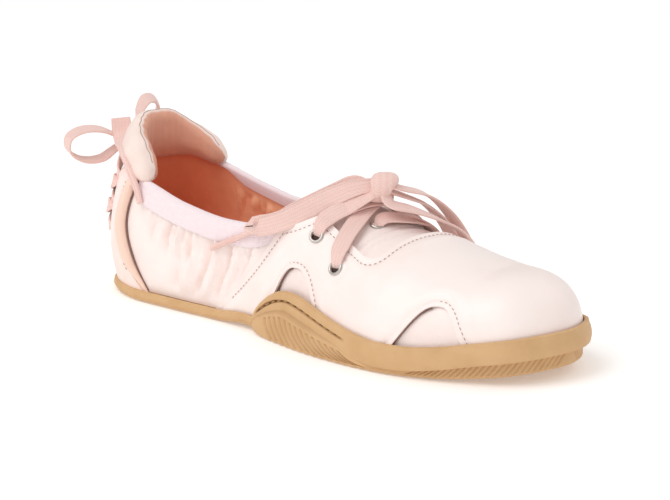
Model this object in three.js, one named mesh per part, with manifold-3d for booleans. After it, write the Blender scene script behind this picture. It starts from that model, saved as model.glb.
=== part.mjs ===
// Lace-up ballet flat, right foot, standing empty on its sole.
// Millimetres. +X to the toe, -Y to the outer side of the foot, +Z up.
// x is measured from the back of the heel until the group is centred at the end.
import * as THREE from 'three';
import { mergeVertices } from 'three/addons/utils/BufferGeometryUtils.js';
import Module from 'manifold-3d';

const wasm = await Module();
wasm.setup();

// Driving dimensions of the last
const HEEL_BACK = 1.5;
const LAST_LENGTH = 243;
const BALL_WIDTH = 77;
const INSTEP_HEIGHT = 57;
const HEEL_HEIGHT = 57;
const HEEL_SPINE_X = 30;
const TOE_SPINE_X = 212;
const SECTION_ROUNDNESS = 2.2;
const TOE_ROUNDNESS = 2.8;
const TOE_BLEND_START = 190;
const HEEL_SWELL = 2.4;
const HEEL_SWELL_TOP = 52;
const HEEL_SWELL_END = 80;

// Thicknesses and the clear gap between neighbouring pieces
const GAP = 0.3;
const UPPER_WALL = 1.6;
const OVERLAY_WALL = 1.0;
const COUNTER_WALL = 1.3;
const TONGUE_WALL = 1.5;
const INSOLE_WALL = 3;
const FORM_DROP = 6;

// Outsole
const HEEL_SLAB = 4;
const FOREFOOT_SLAB = 6.5;
const SLAB_RISE = { start: 92, end: 128 };
const TOE_SPRING = 6;
const SPRING_START = 186;
const SOLE_TIP = 249;
const TREAD_DROP = 0.5;
const TREAD_ROOT = 1;
// Flat treads under heel and ball, seen from above
const TREADS = [
  [[18, -17], [70, -20], [70, 20], [18, 17]],
  [[121, -27], [180, -32], [180, 30], [121, 21]],
];
const ARCH = { start: 76, end: 116, lift: 1.6 };
const RIM_CLEARANCE = OVERLAY_WALL + 3 * GAP;
const RIM_LIP = 1.5;
const SOLE_BEVEL = 1.2;
const RIB = { width: 1.7, depth: 1.3 };
const OUTRIGGER_RIBS = { count: 14, start: 112, end: 170, slant: -0.55, share: 0.86 };
const TOE_RIBS = { count: 12, start: 198, end: 240, slant: 0.6, share: 0.8 };

// Collar, throat, overlay edge, cut-outs
const COLLAR_BAND = { height: 8.5, wall: 0.8, fit: 0.5, start: 37, end: 112, slantStart: 90 };
const OVERLAY_REAR = { top: 114, bottom: 76, height: 47 };
const CUT_OUTS = [
  { start: 108, top: 128, end: 147, height: 33 },
  { start: 185, top: 204, end: 220, height: 27.5 },
];
const THROAT_CORNER = { reach: 5, bulge: 2.5, lead: 1 };
const ARCH_HANDLES = { rearFoot: 0.55, rearRise: 0.75, rearTop: 0.6, frontTop: 0.4, frontFoot: 0.62 };

// Eyelets
const EYELET = { bore: 2.1, barrel: 2.6, flange: 3.5, height: 0.9, hole: 3, sides: 8 };
const HEEL_SLIT = {
  bore: 1.4, barrel: 1.8, flange: 2.9, height: 0.8, hole: 2.35, sides: 8, narrow: 0.75, tall: 1.4,
};
const FRONT_EYELETS = [
  { row: 'rear', x: 133, lateral: 24.5, medial: 25 },
  { row: 'front', x: 149, lateral: 30, medial: 28 },
];
const TONGUE_EYELETS = { x: 150, spread: 5.5 };
const HEEL_SLIT_HEIGHTS = [27, 38.5, 49.5];
const HEEL_SLIT_X = 7.5;
const HEEL_LACE_OFFSET = 5;

// Laces
const LACE = { width: 7.6, thickness: 1.4 };
const LACE_LIFT = 4.7;
const KNOT = { x: 143, y: 1, lift: 10.8, along: 5.5, across: 6.5, up: 4.6 };
const HEEL_KNOT = { x: -1.4, y: 0, z: 63, along: 4.2, across: 6, up: 5 };
const STEPS_PER_SPAN = 2;
const KNOT_SIDES = 10;
const KNOT_ROWS = 6;
// Run from the rear eyelets to the knot: shares of the way, and how far it rises and stays clear
const TO_KNOT = { along: 0.4, across: 0.66, rise: 2, end: 0.8, clear: 2.4, under: 1 };
// Section of the flat lace, as shares of its width and thickness
const LACE_RING = [[-0.5, 0], [-0.4, -0.5], [0.4, -0.5], [0.5, 0], [0.4, 0.5], [-0.4, 0.5]];

// Half widths of the sole line of the upper, as shares of last length and ball width
const PLAN = [
  { along: 0.0267, lateral: 0.221, medial: 0.221 },
  { along: 0.0926, lateral: 0.34, medial: 0.34 },
  { along: 0.1996, lateral: 0.357, medial: 0.357 },
  { along: 0.3148, lateral: 0.351, medial: 0.338 },
  { along: 0.4259, lateral: 0.377, medial: 0.325 },
  { along: 0.5288, lateral: 0.442, medial: 0.357 },
  { along: 0.6317, lateral: 0.497, medial: 0.429 },
  { along: 0.7263, lateral: 0.513, medial: 0.487 },
  { along: 0.8169, lateral: 0.461, medial: 0.481 },
  { along: 0.8951, lateral: 0.366, medial: 0.434 },
  { along: 0.9609, lateral: 0.228, medial: 0.335 },
];
const TOE_TIP = { along: 1, medial: 0.078 };

// Height of the ridge over the foot, as a share of the instep height, and its shift to the inner side.
// Behind the instep it is the height that the steep walls aim at, above the collar.
const RIDGE = [
  { along: 0.1173, height: 1.965, shift: 0 },
  { along: 0.2819, height: 1.895, shift: 0 },
  { along: 0.3642, height: 1.667, shift: 0.5 },
  { along: 0.4465, height: 1.386, shift: 1.5 },
  { along: 0.5082, height: 1.167, shift: 2 },
  { along: 0.57, height: 1, shift: 3 },
  { along: 0.6317, height: 0.91, shift: 3.5 },
  { along: 0.6934, height: 0.845, shift: 4 },
  { along: 0.7551, height: 0.79, shift: 4.5 },
  { along: 0.8169, height: 0.74, shift: 5 },
  { along: 0.8663, height: 0.71, shift: 5.5 },
];

// Side of the sole: heights above its bottom, and how far rim and tread stand out from the upper
const SIDE = [
  { x: -6, rim: 5, step: 1.6, flare: 3.5, tread: 3.1 },
  { x: 101, rim: 5, step: 1.6, flare: 3.5, tread: 3.1 },
  { x: 104, rim: 9.5, step: 5, flare: 4.4, tread: 5 },
  { x: 108, rim: 14, step: 8, flare: 4.8, tread: 6.2 },
  { x: 113, rim: 18.2, step: 10.8, flare: 5, tread: 6.6 },
  { x: 120, rim: 21.6, step: 13.4, flare: 5, tread: 6.8 },
  { x: 127, rim: 22.8, step: 14.8, flare: 5, tread: 6.8 },
  { x: 134, rim: 22.2, step: 13.6, flare: 5, tread: 6.8 },
  { x: 145, rim: 19.6, step: 11.2, flare: 4.8, tread: 6.2 },
  { x: 157, rim: 16.6, step: 8.2, flare: 4.5, tread: 5.2 },
  { x: 169, rim: 14.4, step: 4.8, flare: 4.3, tread: 4.2 },
  { x: 181, rim: 13, step: 2.6, flare: 4.2, tread: 3.2 },
  { x: 193, rim: 13, step: 2.9, flare: 4.2, tread: 2.4 },
  { x: 205, rim: 13.8, step: 4.2, flare: 4.2, tread: 1.8 },
  { x: 223, rim: 15.8, step: 6.4, flare: 4.2, tread: 1.2 },
  { x: 238, rim: 16.4, step: 7, flare: 4.2, tread: 1 },
  { x: 252, rim: 16.2, step: 7, flare: 4, tread: 0.8 },
];

// Top edge of the upper, seen from the side
const COLLAR = [
  { x: -12, height: HEEL_HEIGHT },
  { x: 12, height: HEEL_HEIGHT },
  { x: 32, height: 52.5 },
  { x: 56, height: 46.5 },
  { x: 80, height: 43.5 },
  { x: 100, height: 44.5 },
  { x: 118, height: 48.5 },
  { x: 130, height: 54 },
  { x: 140, height: 61 },
  { x: 150, height: 74 },
];

// Edges of the throat, seen from above
const THROAT = [
  { x: 96, lateral: 16, medial: 16 },
  { x: 126, lateral: 18.5, medial: 16.5 },
  { x: 138, lateral: 19.5, medial: 18 },
  { x: 150, lateral: 22, medial: 20.5 },
  { x: 157, lateral: 23.5, medial: 21.5 },
];
const THROAT_FRONT = { lateral: 166, medial: 172 };

// Tongue, seen from above
const TONGUE = [
  { x: 124, lateral: 12, medial: 11 },
  { x: 129, lateral: 20, medial: 18 },
  { x: 150, lateral: 29, medial: 26 },
  { x: 176, lateral: 29, medial: 27 },
  { x: 186, lateral: 22, medial: 24 },
];

// Front and rear edges of the heel counters, seen from the side
const COUNTER_FRONT = [
  { x: 37, height: 2 },
  { x: 28, height: 18 },
  { x: 22, height: 36 },
  { x: 25, height: 50 },
  { x: 31, height: 60 },
];
const COUNTER_BACK_GAP = 6;

// Padded top of the heel: its heights, and its section as distance from the last and share of the height
const HEEL_PAD = { peak: 20, end: 7, reach: 34 };
const PAD_RING = [
  [1.2, 0], [1.7, 0.4], [0.6, 0.8], [-2.1, 1],
  [-4.8, 0.85], [-6.4, 0.5], [-6.1, 0.15], [-4.8, 0],
];

// Stations between the heel and toe fans
const STATIONS = [
  30, 42, 54, 66, 78, 90, 101, 104, 108, 113, 120, 127, 134, 145, 157, 169, 181, 193, 203, 212,
];
const HEEL_FAN_STEPS = 6;
const TOE_FAN_STEPS = 6;
const WALL_ROWS = 8;
const CROWN_ROWS = { start: 90, end: 150 };

// Reach of the cutting blocks and fineness of the edges they leave
const CUT_SIDE = 80;
const CUT_TOP = 140;
const THROAT_FLOOR = 20;
const HOLE_REACH = 12;
const EDGE_STEPS = 20;
const BAND_STEPS = 9;
const PAD_STEPS = 14;
const MERGE_DISTANCE = 1e-4;
const NORMAL_STEP = 1;
const PLAN_PASSES = 40;

const LATERAL = -1;
const MEDIAL = 1;
const OUTER_SIDES = [
  { side: LATERAL, name: 'lateral' },
  { side: MEDIAL, name: 'medial' },
];

const clamp = THREE.MathUtils.clamp;
const lerp = THREE.MathUtils.lerp;
const smoothstep = THREE.MathUtils.smoothstep;
const v3 = (x, y, z) => new THREE.Vector3(x, y, z);

// Smooth curve through the rows of a table, without overshoot
function curve(rows, across, key) {
  const xs = rows.map((row) => row[across]);
  const ys = rows.map((row) => row[key]);
  const slopes = xs.slice(1).map((x, i) => (ys[i + 1] - ys[i]) / (x - xs[i]));
  const tangents = xs.map((_, i) => {
    if (i === 0) return slopes[0];
    if (i === xs.length - 1) return slopes[i - 1];
    const [before, after] = [slopes[i - 1], slopes[i]];
    return before * after <= 0 ? 0 : (2 * before * after) / (before + after);
  });
  return (x) => {
    const at = clamp(x, xs[0], xs[xs.length - 1]);
    const i = Math.max(0, xs.findIndex((edge) => at <= edge) - 1);
    const span = xs[i + 1] - xs[i];
    const s = (at - xs[i]) / span;
    const s2 = s * s;
    const s3 = s2 * s;
    return (2 * s3 - 3 * s2 + 1) * ys[i] + (s3 - 2 * s2 + s) * span * tangents[i]
      + (3 * s2 - 2 * s3) * ys[i + 1] + (s3 - s2) * span * tangents[i + 1];
  };
}

const alongLast = (share) => HEEL_BACK + share * LAST_LENGTH;
const ridgeRows = RIDGE.map((row) => ({
  x: alongLast(row.along),
  height: row.height * INSTEP_HEIGHT,
  shift: row.shift,
}));
const ridgeHeight = curve(ridgeRows, 'x', 'height');
const ridgeShift = curve(ridgeRows, 'x', 'shift');
const rimHeight = curve(SIDE, 'x', 'rim');
const stepHeight = curve(SIDE, 'x', 'step');
const rimFlare = curve(SIDE, 'x', 'flare');
const treadFlare = curve(SIDE, 'x', 'tread');
const collarHeight = curve(COLLAR, 'x', 'height');

// Underside of the sole beside its treads: flat heel, low arch, flat ball, toe spring
function soleBottom(x) {
  const spring = Math.max(0, (x - SPRING_START) / (SOLE_TIP - SPRING_START));
  const arch = clamp((x - ARCH.start) / (ARCH.end - ARCH.start), 0, 1);
  return TREAD_DROP + TOE_SPRING * spring ** 2 + ARCH.lift * Math.sin(Math.PI * arch) ** 2;
}

function slabTop(x) {
  const rise = smoothstep(x, SLAB_RISE.start, SLAB_RISE.end);
  return soleBottom(x) + lerp(HEEL_SLAB, FOREFOOT_SLAB, rise);
}

const wallFoot = (x) => slabTop(x) + GAP;

// Sole line of the upper, as a closed curve: heel, outer side, toe, inner side
const planRows = PLAN.map((row) => ({
  x: alongLast(row.along),
  lateral: row.lateral * BALL_WIDTH,
  medial: row.medial * BALL_WIDTH,
}));
const planPoints = [
  v3(HEEL_BACK, 0, 0),
  ...planRows.map((row) => v3(row.x, -row.lateral, 0)),
  v3(alongLast(TOE_TIP.along), TOE_TIP.medial * BALL_WIDTH, 0),
  ...planRows.toReversed().map((row) => v3(row.x, row.medial, 0)),
];
const planCurve = new THREE.CatmullRomCurve3(planPoints, true, 'centripetal');
const TOE_AT = (planRows.length + 1) / planPoints.length;

// Place on the plan curve where one side of it passes x
function planAt(x, side) {
  let [rear, front] = side === LATERAL ? [0, TOE_AT] : [1, TOE_AT];
  for (let pass = 0; pass < PLAN_PASSES; pass += 1) {
    const middle = (rear + front) / 2;
    if (planCurve.getPoint(middle).x < x) rear = middle;
    else front = middle;
  }
  return (rear + front) / 2;
}

// One upright line of the last: its foot on the plan curve and the ridge point it leans to
function column(at, side) {
  const foot = planCurve.getPoint(at);
  const tangent = planCurve.getTangent(at);
  const spineX = clamp(foot.x, HEEL_SPINE_X, TOE_SPINE_X);
  const toward = smoothstep(foot.x, TOE_BLEND_START, alongLast(1));
  return {
    side,
    foot,
    out: v3(tangent.y, -tangent.x, 0).normalize(),
    along: tangent.normalize(),
    spine: v3(spineX, ridgeShift(spineX), ridgeHeight(spineX)),
    roundness: lerp(SECTION_ROUNDNESS, TOE_ROUNDNESS, toward),
    swell: HEEL_SWELL * (1 - smoothstep(foot.x, HEEL_SPINE_X, HEEL_SWELL_END)),
  };
}

const columnAt = (x, side) => column(planAt(x, side), side);

function sideColumns(side) {
  const ends = [side === LATERAL ? 0 : 1, TOE_AT];
  const heel = planAt(HEEL_SPINE_X, side);
  const toe = planAt(TOE_SPINE_X, side);
  const fan = (from, to, steps) => Array.from({ length: steps }, (_, i) => lerp(from, to, i / steps));
  const places = [
    ...fan(ends[0], heel, HEEL_FAN_STEPS),
    ...STATIONS.map((x) => planAt(x, side)),
    ...fan(ends[1], toe, TOE_FAN_STEPS).slice(1).toReversed(),
  ];
  return places.map((at) => column(at, side));
}

const COLUMNS = [
  ...sideColumns(LATERAL),
  column(TOE_AT, LATERAL),
  ...sideColumns(MEDIAL).slice(1).toReversed(),
];

// Point on the last's wall at a height, moved out by offset
function wallAt(line, z, offset) {
  const foot = wallFoot(line.foot.x);
  const top = line.spine.z + offset;
  const rise = clamp((z - foot) / (top - foot), 0, 1);
  const reach = (1 - rise ** line.roundness) ** (1 / line.roundness);
  const swell = line.swell * Math.sin(Math.PI * clamp((z - foot) / (HEEL_SWELL_TOP - foot), 0, 1));
  const base = line.foot.clone().addScaledVector(line.out, offset + swell);
  return v3(
    lerp(line.spine.x, base.x, reach),
    lerp(line.spine.y, base.y, reach),
    z,
  );
}

// Height of the last over a point of the plan, raised by lift, for the instep and forefoot
function topAt(x, y, lift) {
  const line = columnAt(x, y < ridgeShift(x) ? LATERAL : MEDIAL);
  const share = clamp(Math.abs(y - line.spine.y) / Math.abs(line.foot.y - line.spine.y), 0, 1);
  const rise = (1 - share ** line.roundness) ** (1 / line.roundness);
  const foot = wallFoot(x);
  return v3(x, y, lerp(foot, line.spine.z, rise) + lift);
}

function topNormal(x, y) {
  const dx = topAt(x + NORMAL_STEP, y, 0).z - topAt(x - NORMAL_STEP, y, 0).z;
  const dy = topAt(x, y + NORMAL_STEP, 0).z - topAt(x, y - NORMAL_STEP, 0).z;
  return v3(-dx, -dy, 2 * NORMAL_STEP).normalize();
}

const overTop = (x, y, lift) => topAt(x, y, 0).addScaledVector(topNormal(x, y), lift);

// Faces between neighbouring strips of points
function quads(strips, loop, ring) {
  const rows = strips[0].length;
  const stripCount = loop ? strips.length : strips.length - 1;
  const rowCount = ring ? rows : rows - 1;
  const index = [];
  for (let i = 0; i < stripCount; i += 1) {
    const next = (i + 1) % strips.length;
    for (let j = 0; j < rowCount; j += 1) {
      const up = (j + 1) % rows;
      const [a, b, c, d] = [i * rows + j, next * rows + j, next * rows + up, i * rows + up];
      index.push(a, b, c, a, c, d);
    }
  }
  return index;
}

// Geometry with shared corners merged, empty triangles dropped and faces pointing out
function closed(source) {
  const bare = source.clone();
  bare.deleteAttribute('normal');
  bare.deleteAttribute('uv');
  const merged = mergeVertices(bare, MERGE_DISTANCE);
  const place = merged.getAttribute('position');
  const corner = (i) => v3().fromBufferAttribute(place, i);
  const order = merged.getIndex().array;
  const index = [];
  let volume = 0;
  for (let i = 0; i < order.length; i += 3) {
    const [a, b, c] = [order[i], order[i + 1], order[i + 2]];
    if (a !== b && b !== c && c !== a) {
      index.push(a, b, c);
      volume += corner(a).dot(corner(b).cross(corner(c)));
    }
  }
  merged.setIndex(volume < 0 ? index.reverse() : index);
  return merged;
}

function fromStrips(strips, index) {
  const geometry = new THREE.BufferGeometry();
  const positions = strips.flat().flatMap((p) => [p.x, p.y, p.z]);
  geometry.setAttribute('position', new THREE.Float32BufferAttribute(positions, 3));
  geometry.setIndex(index);
  return closed(geometry);
}

// Closed body round the foot: every strip starts and ends on the spine
const aroundFoot = (strip) => {
  const strips = COLUMNS.map(strip);
  return fromStrips(strips, quads(strips, true, false));
};

// Closed body along a path: every strip is the same ring of points, and the ends are capped
function alongPath(strips, ring) {
  const contour = ring.map(([u, w]) => new THREE.Vector2(u, w));
  const turn = Math.sign(THREE.ShapeUtils.area(contour));
  const caps = THREE.ShapeUtils.triangulateShape(contour, []).map(([a, b, c]) => {
    const face = THREE.ShapeUtils.area([contour[a], contour[b], contour[c]]);
    return Math.sign(face) === turn ? [a, b, c] : [a, c, b];
  });
  const last = (strips.length - 1) * ring.length;
  const index = quads(strips, false, true);
  caps.forEach(([a, b, c]) => index.push(a, b, c, last + a, last + c, last + b));
  return fromStrips(strips, index);
}

// Solids for joining and cutting
function solid(geometry) {
  return new wasm.Manifold(new wasm.Mesh({
    numProp: 3,
    vertProperties: new Float32Array(geometry.getAttribute('position').array),
    triVerts: new Uint32Array(geometry.getIndex().array),
  }));
}

function geometryOf(body) {
  const mesh = body.getMesh();
  const geometry = new THREE.BufferGeometry();
  geometry.setAttribute('position', new THREE.Float32BufferAttribute(mesh.vertProperties, 3));
  geometry.setIndex([...mesh.triVerts]);
  return geometry;
}

const cutAll = (body, cutters) => cutters.reduce((rest, cutter) => rest.subtract(cutter), body);
const joinAll = (bodies) => bodies.reduce((sum, body) => sum.add(body));

const outlineShape = (points) => new THREE.Shape(points.map(([u, w]) => new THREE.Vector2(u, w)));

// Upright block over an outline seen from above
function planBlock(shape, low, high) {
  const block = new THREE.ExtrudeGeometry(shape, { depth: high - low, bevelEnabled: false });
  return solid(closed(block.translate(0, 0, low)));
}

// Block across the shoe over an outline seen from the side
function sideBlock(shape, low, high) {
  const block = new THREE.ExtrudeGeometry(shape, { depth: high - low, bevelEnabled: false });
  return solid(closed(block.rotateX(Math.PI / 2).translate(0, high, 0)));
}

// The last as a closed body, grown by offset and lengthened downwards by drop
function form(offset, drop = 0) {
  return solid(aroundFoot((line) => {
    const foot = wallFoot(line.foot.x);
    const top = line.spine.z + offset;
    const crowned = smoothstep(line.spine.x, CROWN_ROWS.start, CROWN_ROWS.end);
    const wall = Array.from({ length: WALL_ROWS + 1 }, (_, j) => {
      const share = j / WALL_ROWS;
      const eased = Math.sin((share * Math.PI) / 2) ** (2 / line.roundness);
      return wallAt(line, lerp(foot, top, lerp(share, eased, crowned)), offset);
    });
    const sunk = wall[0].clone().setZ(foot - drop);
    return [v3(line.spine.x, line.spine.y, wallFoot(line.spine.x) - drop), sunk, ...wall];
  }));
}

const sheetBetween = (inner, outer) => form(outer).subtract(form(inner, FORM_DROP));

function sampled(rows, across, key, steps) {
  const at = curve(rows, across, key);
  const [first, last] = [rows[0][across], rows[rows.length - 1][across]];
  return Array.from({ length: steps + 1 }, (_, i) => {
    const place = lerp(first, last, i / steps);
    return [place, at(place)];
  });
}

function collarOpening() {
  const edge = sampled(COLLAR, 'x', 'height', EDGE_STEPS);
  const last = edge[edge.length - 1][0];
  return sideBlock(outlineShape([...edge, [last, CUT_TOP], [edge[0][0], CUT_TOP]]), -CUT_SIDE, CUT_SIDE);
}

function throatOpening() {
  const shape = new THREE.Shape();
  const last = THROAT[THROAT.length - 1];
  shape.moveTo(THROAT[0].x, -THROAT[0].lateral);
  THROAT.slice(1).forEach((row) => shape.lineTo(row.x, -row.lateral));
  const { reach, bulge, lead } = THROAT_CORNER;
  shape.quadraticCurveTo(
    THROAT_FRONT.lateral, -last.lateral - bulge,
    THROAT_FRONT.lateral + lead, -last.lateral + reach,
  );
  shape.lineTo(THROAT_FRONT.medial, last.medial - reach);
  shape.quadraticCurveTo(THROAT_FRONT.medial + lead, last.medial + bulge, last.x, last.medial);
  THROAT.slice(0, -1).toReversed().forEach((row) => shape.lineTo(row.x, row.medial));
  return planBlock(shape, THROAT_FLOOR, CUT_TOP);
}

// Arched notch in the overlay above the sole, steep behind and longer in front
function cutOut({ start, top, end, height }) {
  const shape = new THREE.Shape();
  shape.moveTo(start, 0);
  shape.lineTo(start, wallFoot(start));
  const { rearFoot, rearRise, rearTop, frontTop, frontFoot } = ARCH_HANDLES;
  shape.bezierCurveTo(
    lerp(start, top, rearFoot), height * rearRise,
    lerp(start, top, rearTop), height,
    top, height,
  );
  shape.bezierCurveTo(
    lerp(top, end, frontTop), height,
    lerp(top, end, frontFoot), height * frontFoot,
    end, wallFoot(end),
  );
  shape.lineTo(end, 0);
  return sideBlock(shape, -CUT_SIDE, CUT_SIDE);
}

// Eyelets: where they sit, the ring and the hole for it
const frontEyelets = FRONT_EYELETS.flatMap((row) => OUTER_SIDES.map(({ side, name }) => ({
  name: `front_eyelet_${name}_${row.row}`,
  x: row.x,
  y: side * row[name],
})));
const tongueEyelets = OUTER_SIDES.map(({ side, name }) => ({
  name: `tongue_eyelet_${name}`,
  x: TONGUE_EYELETS.x,
  y: side * TONGUE_EYELETS.spread,
}));

function heelSpot(side, z, offset) {
  const line = columnAt(HEEL_SLIT_X, side);
  const up = wallAt(line, z + NORMAL_STEP, offset).sub(wallAt(line, z - NORMAL_STEP, offset));
  const turned = line.along.clone();
  return { at: wallAt(line, z, offset), normal: turned.cross(up).normalize() };
}

function eyeletRing({ bore, barrel, flange, height, sides, narrow = 1, tall = 1 }, depth) {
  const profile = [
    [bore, -depth],
    [barrel, -depth],
    [barrel, GAP],
    [flange, GAP],
    [flange, GAP + height / 2],
    [(flange + bore) / 2, GAP + height],
    [bore, GAP + height / 2],
    [bore, -depth],
  ];
  const turned = new THREE.LatheGeometry(profile.map(([r, h]) => new THREE.Vector2(r, h)), sides);
  return closed(turned.scale(narrow, 1, tall));
}

const facing = (normal) => new THREE.Quaternion().setFromUnitVectors(v3(0, 1, 0), normal);

function hole(at, normal, { hole: radius, sides, narrow = 1, tall = 1 }) {
  const rod = new THREE.CylinderGeometry(radius, radius, HOLE_REACH, sides).scale(narrow, 1, tall);
  rod.applyQuaternion(facing(normal)).translate(at.x, at.y, at.z);
  return solid(closed(rod));
}

// Flat lace along hand-set points, each with the direction its width lies in
function lace(route) {
  const path = new THREE.CatmullRomCurve3(route.map((row) => row.at), false, 'centripetal');
  const spans = route.length - 1;
  const count = spans * STEPS_PER_SPAN;
  const ring = LACE_RING.map(([w, h]) => [w * LACE.width, h * LACE.thickness]);
  const strips = Array.from({ length: count + 1 }, (_, i) => {
    const place = (i / count) * spans;
    const span = Math.min(spans - 1, Math.floor(place));
    const at = path.getPoint(i / count);
    const forward = path.getTangent(i / count);
    const hint = route[span].across.clone().lerp(route[span + 1].across, place - span);
    const face = hint.clone().cross(forward).normalize();
    const across = forward.clone().cross(face).normalize();
    return ring.map(([w, h]) => at.clone().addScaledVector(across, w).addScaledVector(face, h));
  });
  return alongPath(strips, ring);
}

// Points on the instep or beside the wall, with the way the surface faces there
const over = (x, y, lift) => ({ at: overTop(x, y, lift), normal: topNormal(x, y) });

function beside(side, x, z, offset) {
  const line = columnAt(x, side);
  return { at: wallAt(line, z, offset), normal: line.out.clone() };
}

// Lace that lies flat on what is under it
function lying(points) {
  return points.map(({ at, normal }, i) => {
    const from = points[Math.max(0, i - 1)].at;
    const to = points[Math.min(points.length - 1, i + 1)].at;
    return { at, across: to.clone().sub(from).cross(normal).normalize() };
  });
}

// Lace that runs out and folds back over itself, both runs as wide as the surface under them lies
function folded(points) {
  return points.map(({ at, normal }, i) => {
    const outward = i < points.length / 2
      ? points[i + 1].at.clone().sub(at)
      : points[i - 1].at.clone().sub(at);
    return { at, across: outward.cross(normal).normalize() };
  });
}

// Lace that stands as an open loop, its width kept in one direction
const standing = (points, across) => points.map((at) => ({ at, across: across.clone().normalize() }));

function knotBall({ along, across, up }) {
  return closed(new THREE.SphereGeometry(1, KNOT_SIDES, KNOT_ROWS).scale(along, across, up));
}

// Pieces
function makeOutsole() {
  const body = solid(aroundFoot((line) => {
    const { x } = line.foot;
    const low = soleBottom(x);
    const rim = low + rimHeight(x);
    const step = low + stepHeight(x);
    const stand = (offset, z) => line.foot.clone().addScaledVector(line.out, offset).setZ(z);
    return [
      v3(line.spine.x, line.spine.y, soleBottom(line.spine.x)),
      stand(treadFlare(x) - SOLE_BEVEL, low),
      stand(treadFlare(x), low + SOLE_BEVEL),
      stand(treadFlare(x), step - GAP),
      stand(rimFlare(x), step),
      wallAt(line, Math.max(rim - RIM_LIP, step + GAP), RIM_CLEARANCE + RIM_LIP + GAP),
      wallAt(line, rim, RIM_CLEARANCE + RIM_LIP / 2),
      wallAt(line, rim - GAP, RIM_CLEARANCE),
      wallAt(line, slabTop(x), RIM_CLEARANCE),
      v3(line.spine.x, line.spine.y, slabTop(line.spine.x)),
    ];
  }));
  const sets = [OUTRIGGER_RIBS, TOE_RIBS];
  const ribs = sets.flatMap((set) => OUTER_SIDES.flatMap(({ side }) => ribCuts(set, side)));
  const treads = TREADS.map((outline) => planBlock(outlineShape(outline), 0, TREAD_DROP + TREAD_ROOT));
  return geometryOf(joinAll([cutAll(body, ribs), ...treads]));
}

// Slanting grooves across the side of the tread
function ribCuts({ count, start, end, slant, share }, side) {
  return Array.from({ length: count }, (_, i) => {
    const x = lerp(start, end, i / (count - 1));
    const line = columnAt(x, side);
    const low = soleBottom(x);
    const face = line.foot.clone().addScaledVector(line.out, treadFlare(x));
    const ring = [[-RIB.width / 2, GAP], [RIB.width / 2, GAP], [0, -RIB.depth]];
    const strips = [low - GAP, low + stepHeight(x) * share].map((z) => ring.map(([u, w]) => face.clone()
      .addScaledVector(line.along, u - side * slant * (z - low))
      .addScaledVector(line.out, w)
      .setZ(z)));
    return solid(alongPath(strips, ring));
  });
}

function makeInsole() {
  const inset = -UPPER_WALL - 2 * GAP;
  return aroundFoot((line) => {
    const low = slabTop(line.foot.x) + GAP;
    const edge = wallAt(line, low + INSOLE_WALL, inset);
    const middle = slabTop(line.spine.x) + GAP;
    return [
      v3(line.spine.x, line.spine.y, middle),
      edge.clone().setZ(low),
      edge.clone().setZ(low + INSOLE_WALL),
      v3(line.spine.x, line.spine.y, middle + INSOLE_WALL),
    ];
  });
}

const eyeletHoles = frontEyelets.map(({ x, y }) => hole(overTop(x, y, 0), topNormal(x, y), EYELET));
const openings = [collarOpening(), throatOpening()];

function makeUpper() {
  const shell = form(0).subtract(form(-UPPER_WALL, FORM_DROP));
  return geometryOf(cutAll(shell, [...openings, ...eyeletHoles]));
}

function makeOverlay() {
  const { top, bottom, height } = OVERLAY_REAR;
  const region = sideBlock(outlineShape([
    [bottom, 0],
    [alongLast(1) + CUT_SIDE, 0],
    [alongLast(1) + CUT_SIDE, CUT_TOP],
    [top, CUT_TOP],
    [top, height],
    [bottom, wallFoot(bottom)],
  ]), -CUT_SIDE, CUT_SIDE);
  const sheet = sheetBetween(GAP, GAP + OVERLAY_WALL).intersect(region);
  return geometryOf(cutAll(sheet, [...openings, ...eyeletHoles, ...CUT_OUTS.map(cutOut)]));
}

function makeTongue() {
  const outer = -UPPER_WALL - GAP;
  const edge = (name, side) => sampled(TONGUE, 'x', name, TONGUE.length * 2).map(([x, y]) => [x, side * y]);
  const outline = outlineShape([...edge('lateral', LATERAL), ...edge('medial', MEDIAL).toReversed()]);
  const sheet = sheetBetween(outer - TONGUE_WALL, outer).intersect(planBlock(outline, THROAT_FLOOR, CUT_TOP));
  const holes = tongueEyelets.map(({ x, y }) => hole(overTop(x, y, outer), topNormal(x, y), EYELET));
  return geometryOf(cutAll(sheet, holes));
}

function makeCounter(side) {
  const front = sampled(COUNTER_FRONT, 'height', 'x', COUNTER_FRONT.length * 2).map(([z, x]) => [x, z]);
  const region = sideBlock(
    outlineShape([[-CUT_SIDE, front[0][1]], ...front, [-CUT_SIDE, front[front.length - 1][1]]]),
    side === LATERAL ? -CUT_SIDE : COUNTER_BACK_GAP,
    side === LATERAL ? -COUNTER_BACK_GAP : CUT_SIDE,
  );
  const holes = HEEL_SLIT_HEIGHTS.map((z) => {
    const spot = heelSpot(side, z, GAP + COUNTER_WALL);
    return hole(spot.at, spot.normal, HEEL_SLIT);
  });
  const sheet = sheetBetween(GAP, GAP + COUNTER_WALL).intersect(region);
  return geometryOf(cutAll(sheet, [openings[0], ...holes]));
}

// Elastic folded over the top edge, cut at the front along the overlay's edge
function makeElastic(side) {
  const { height, wall, fit, start, end, slantStart } = COLLAR_BAND;
  const [outside, inside] = [fit + wall, -UPPER_WALL - fit - wall];
  const ring = [
    [outside, -height], [outside, outside], [inside, outside], [inside, -height],
    [inside + wall, -height], [inside + wall, fit], [fit, fit], [fit, -height],
  ];
  const lean = (OVERLAY_REAR.top - OVERLAY_REAR.bottom) / OVERLAY_REAR.height;
  const strips = Array.from({ length: BAND_STEPS + 1 }, (_, i) => {
    const x = lerp(start, end, i / BAND_STEPS);
    const slant = lean * smoothstep(x, slantStart, end);
    return ring.map(([offset, z]) => wallAt(columnAt(x + slant * z, side), collarHeight(x) + z, offset));
  });
  return alongPath(strips, ring);
}

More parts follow.
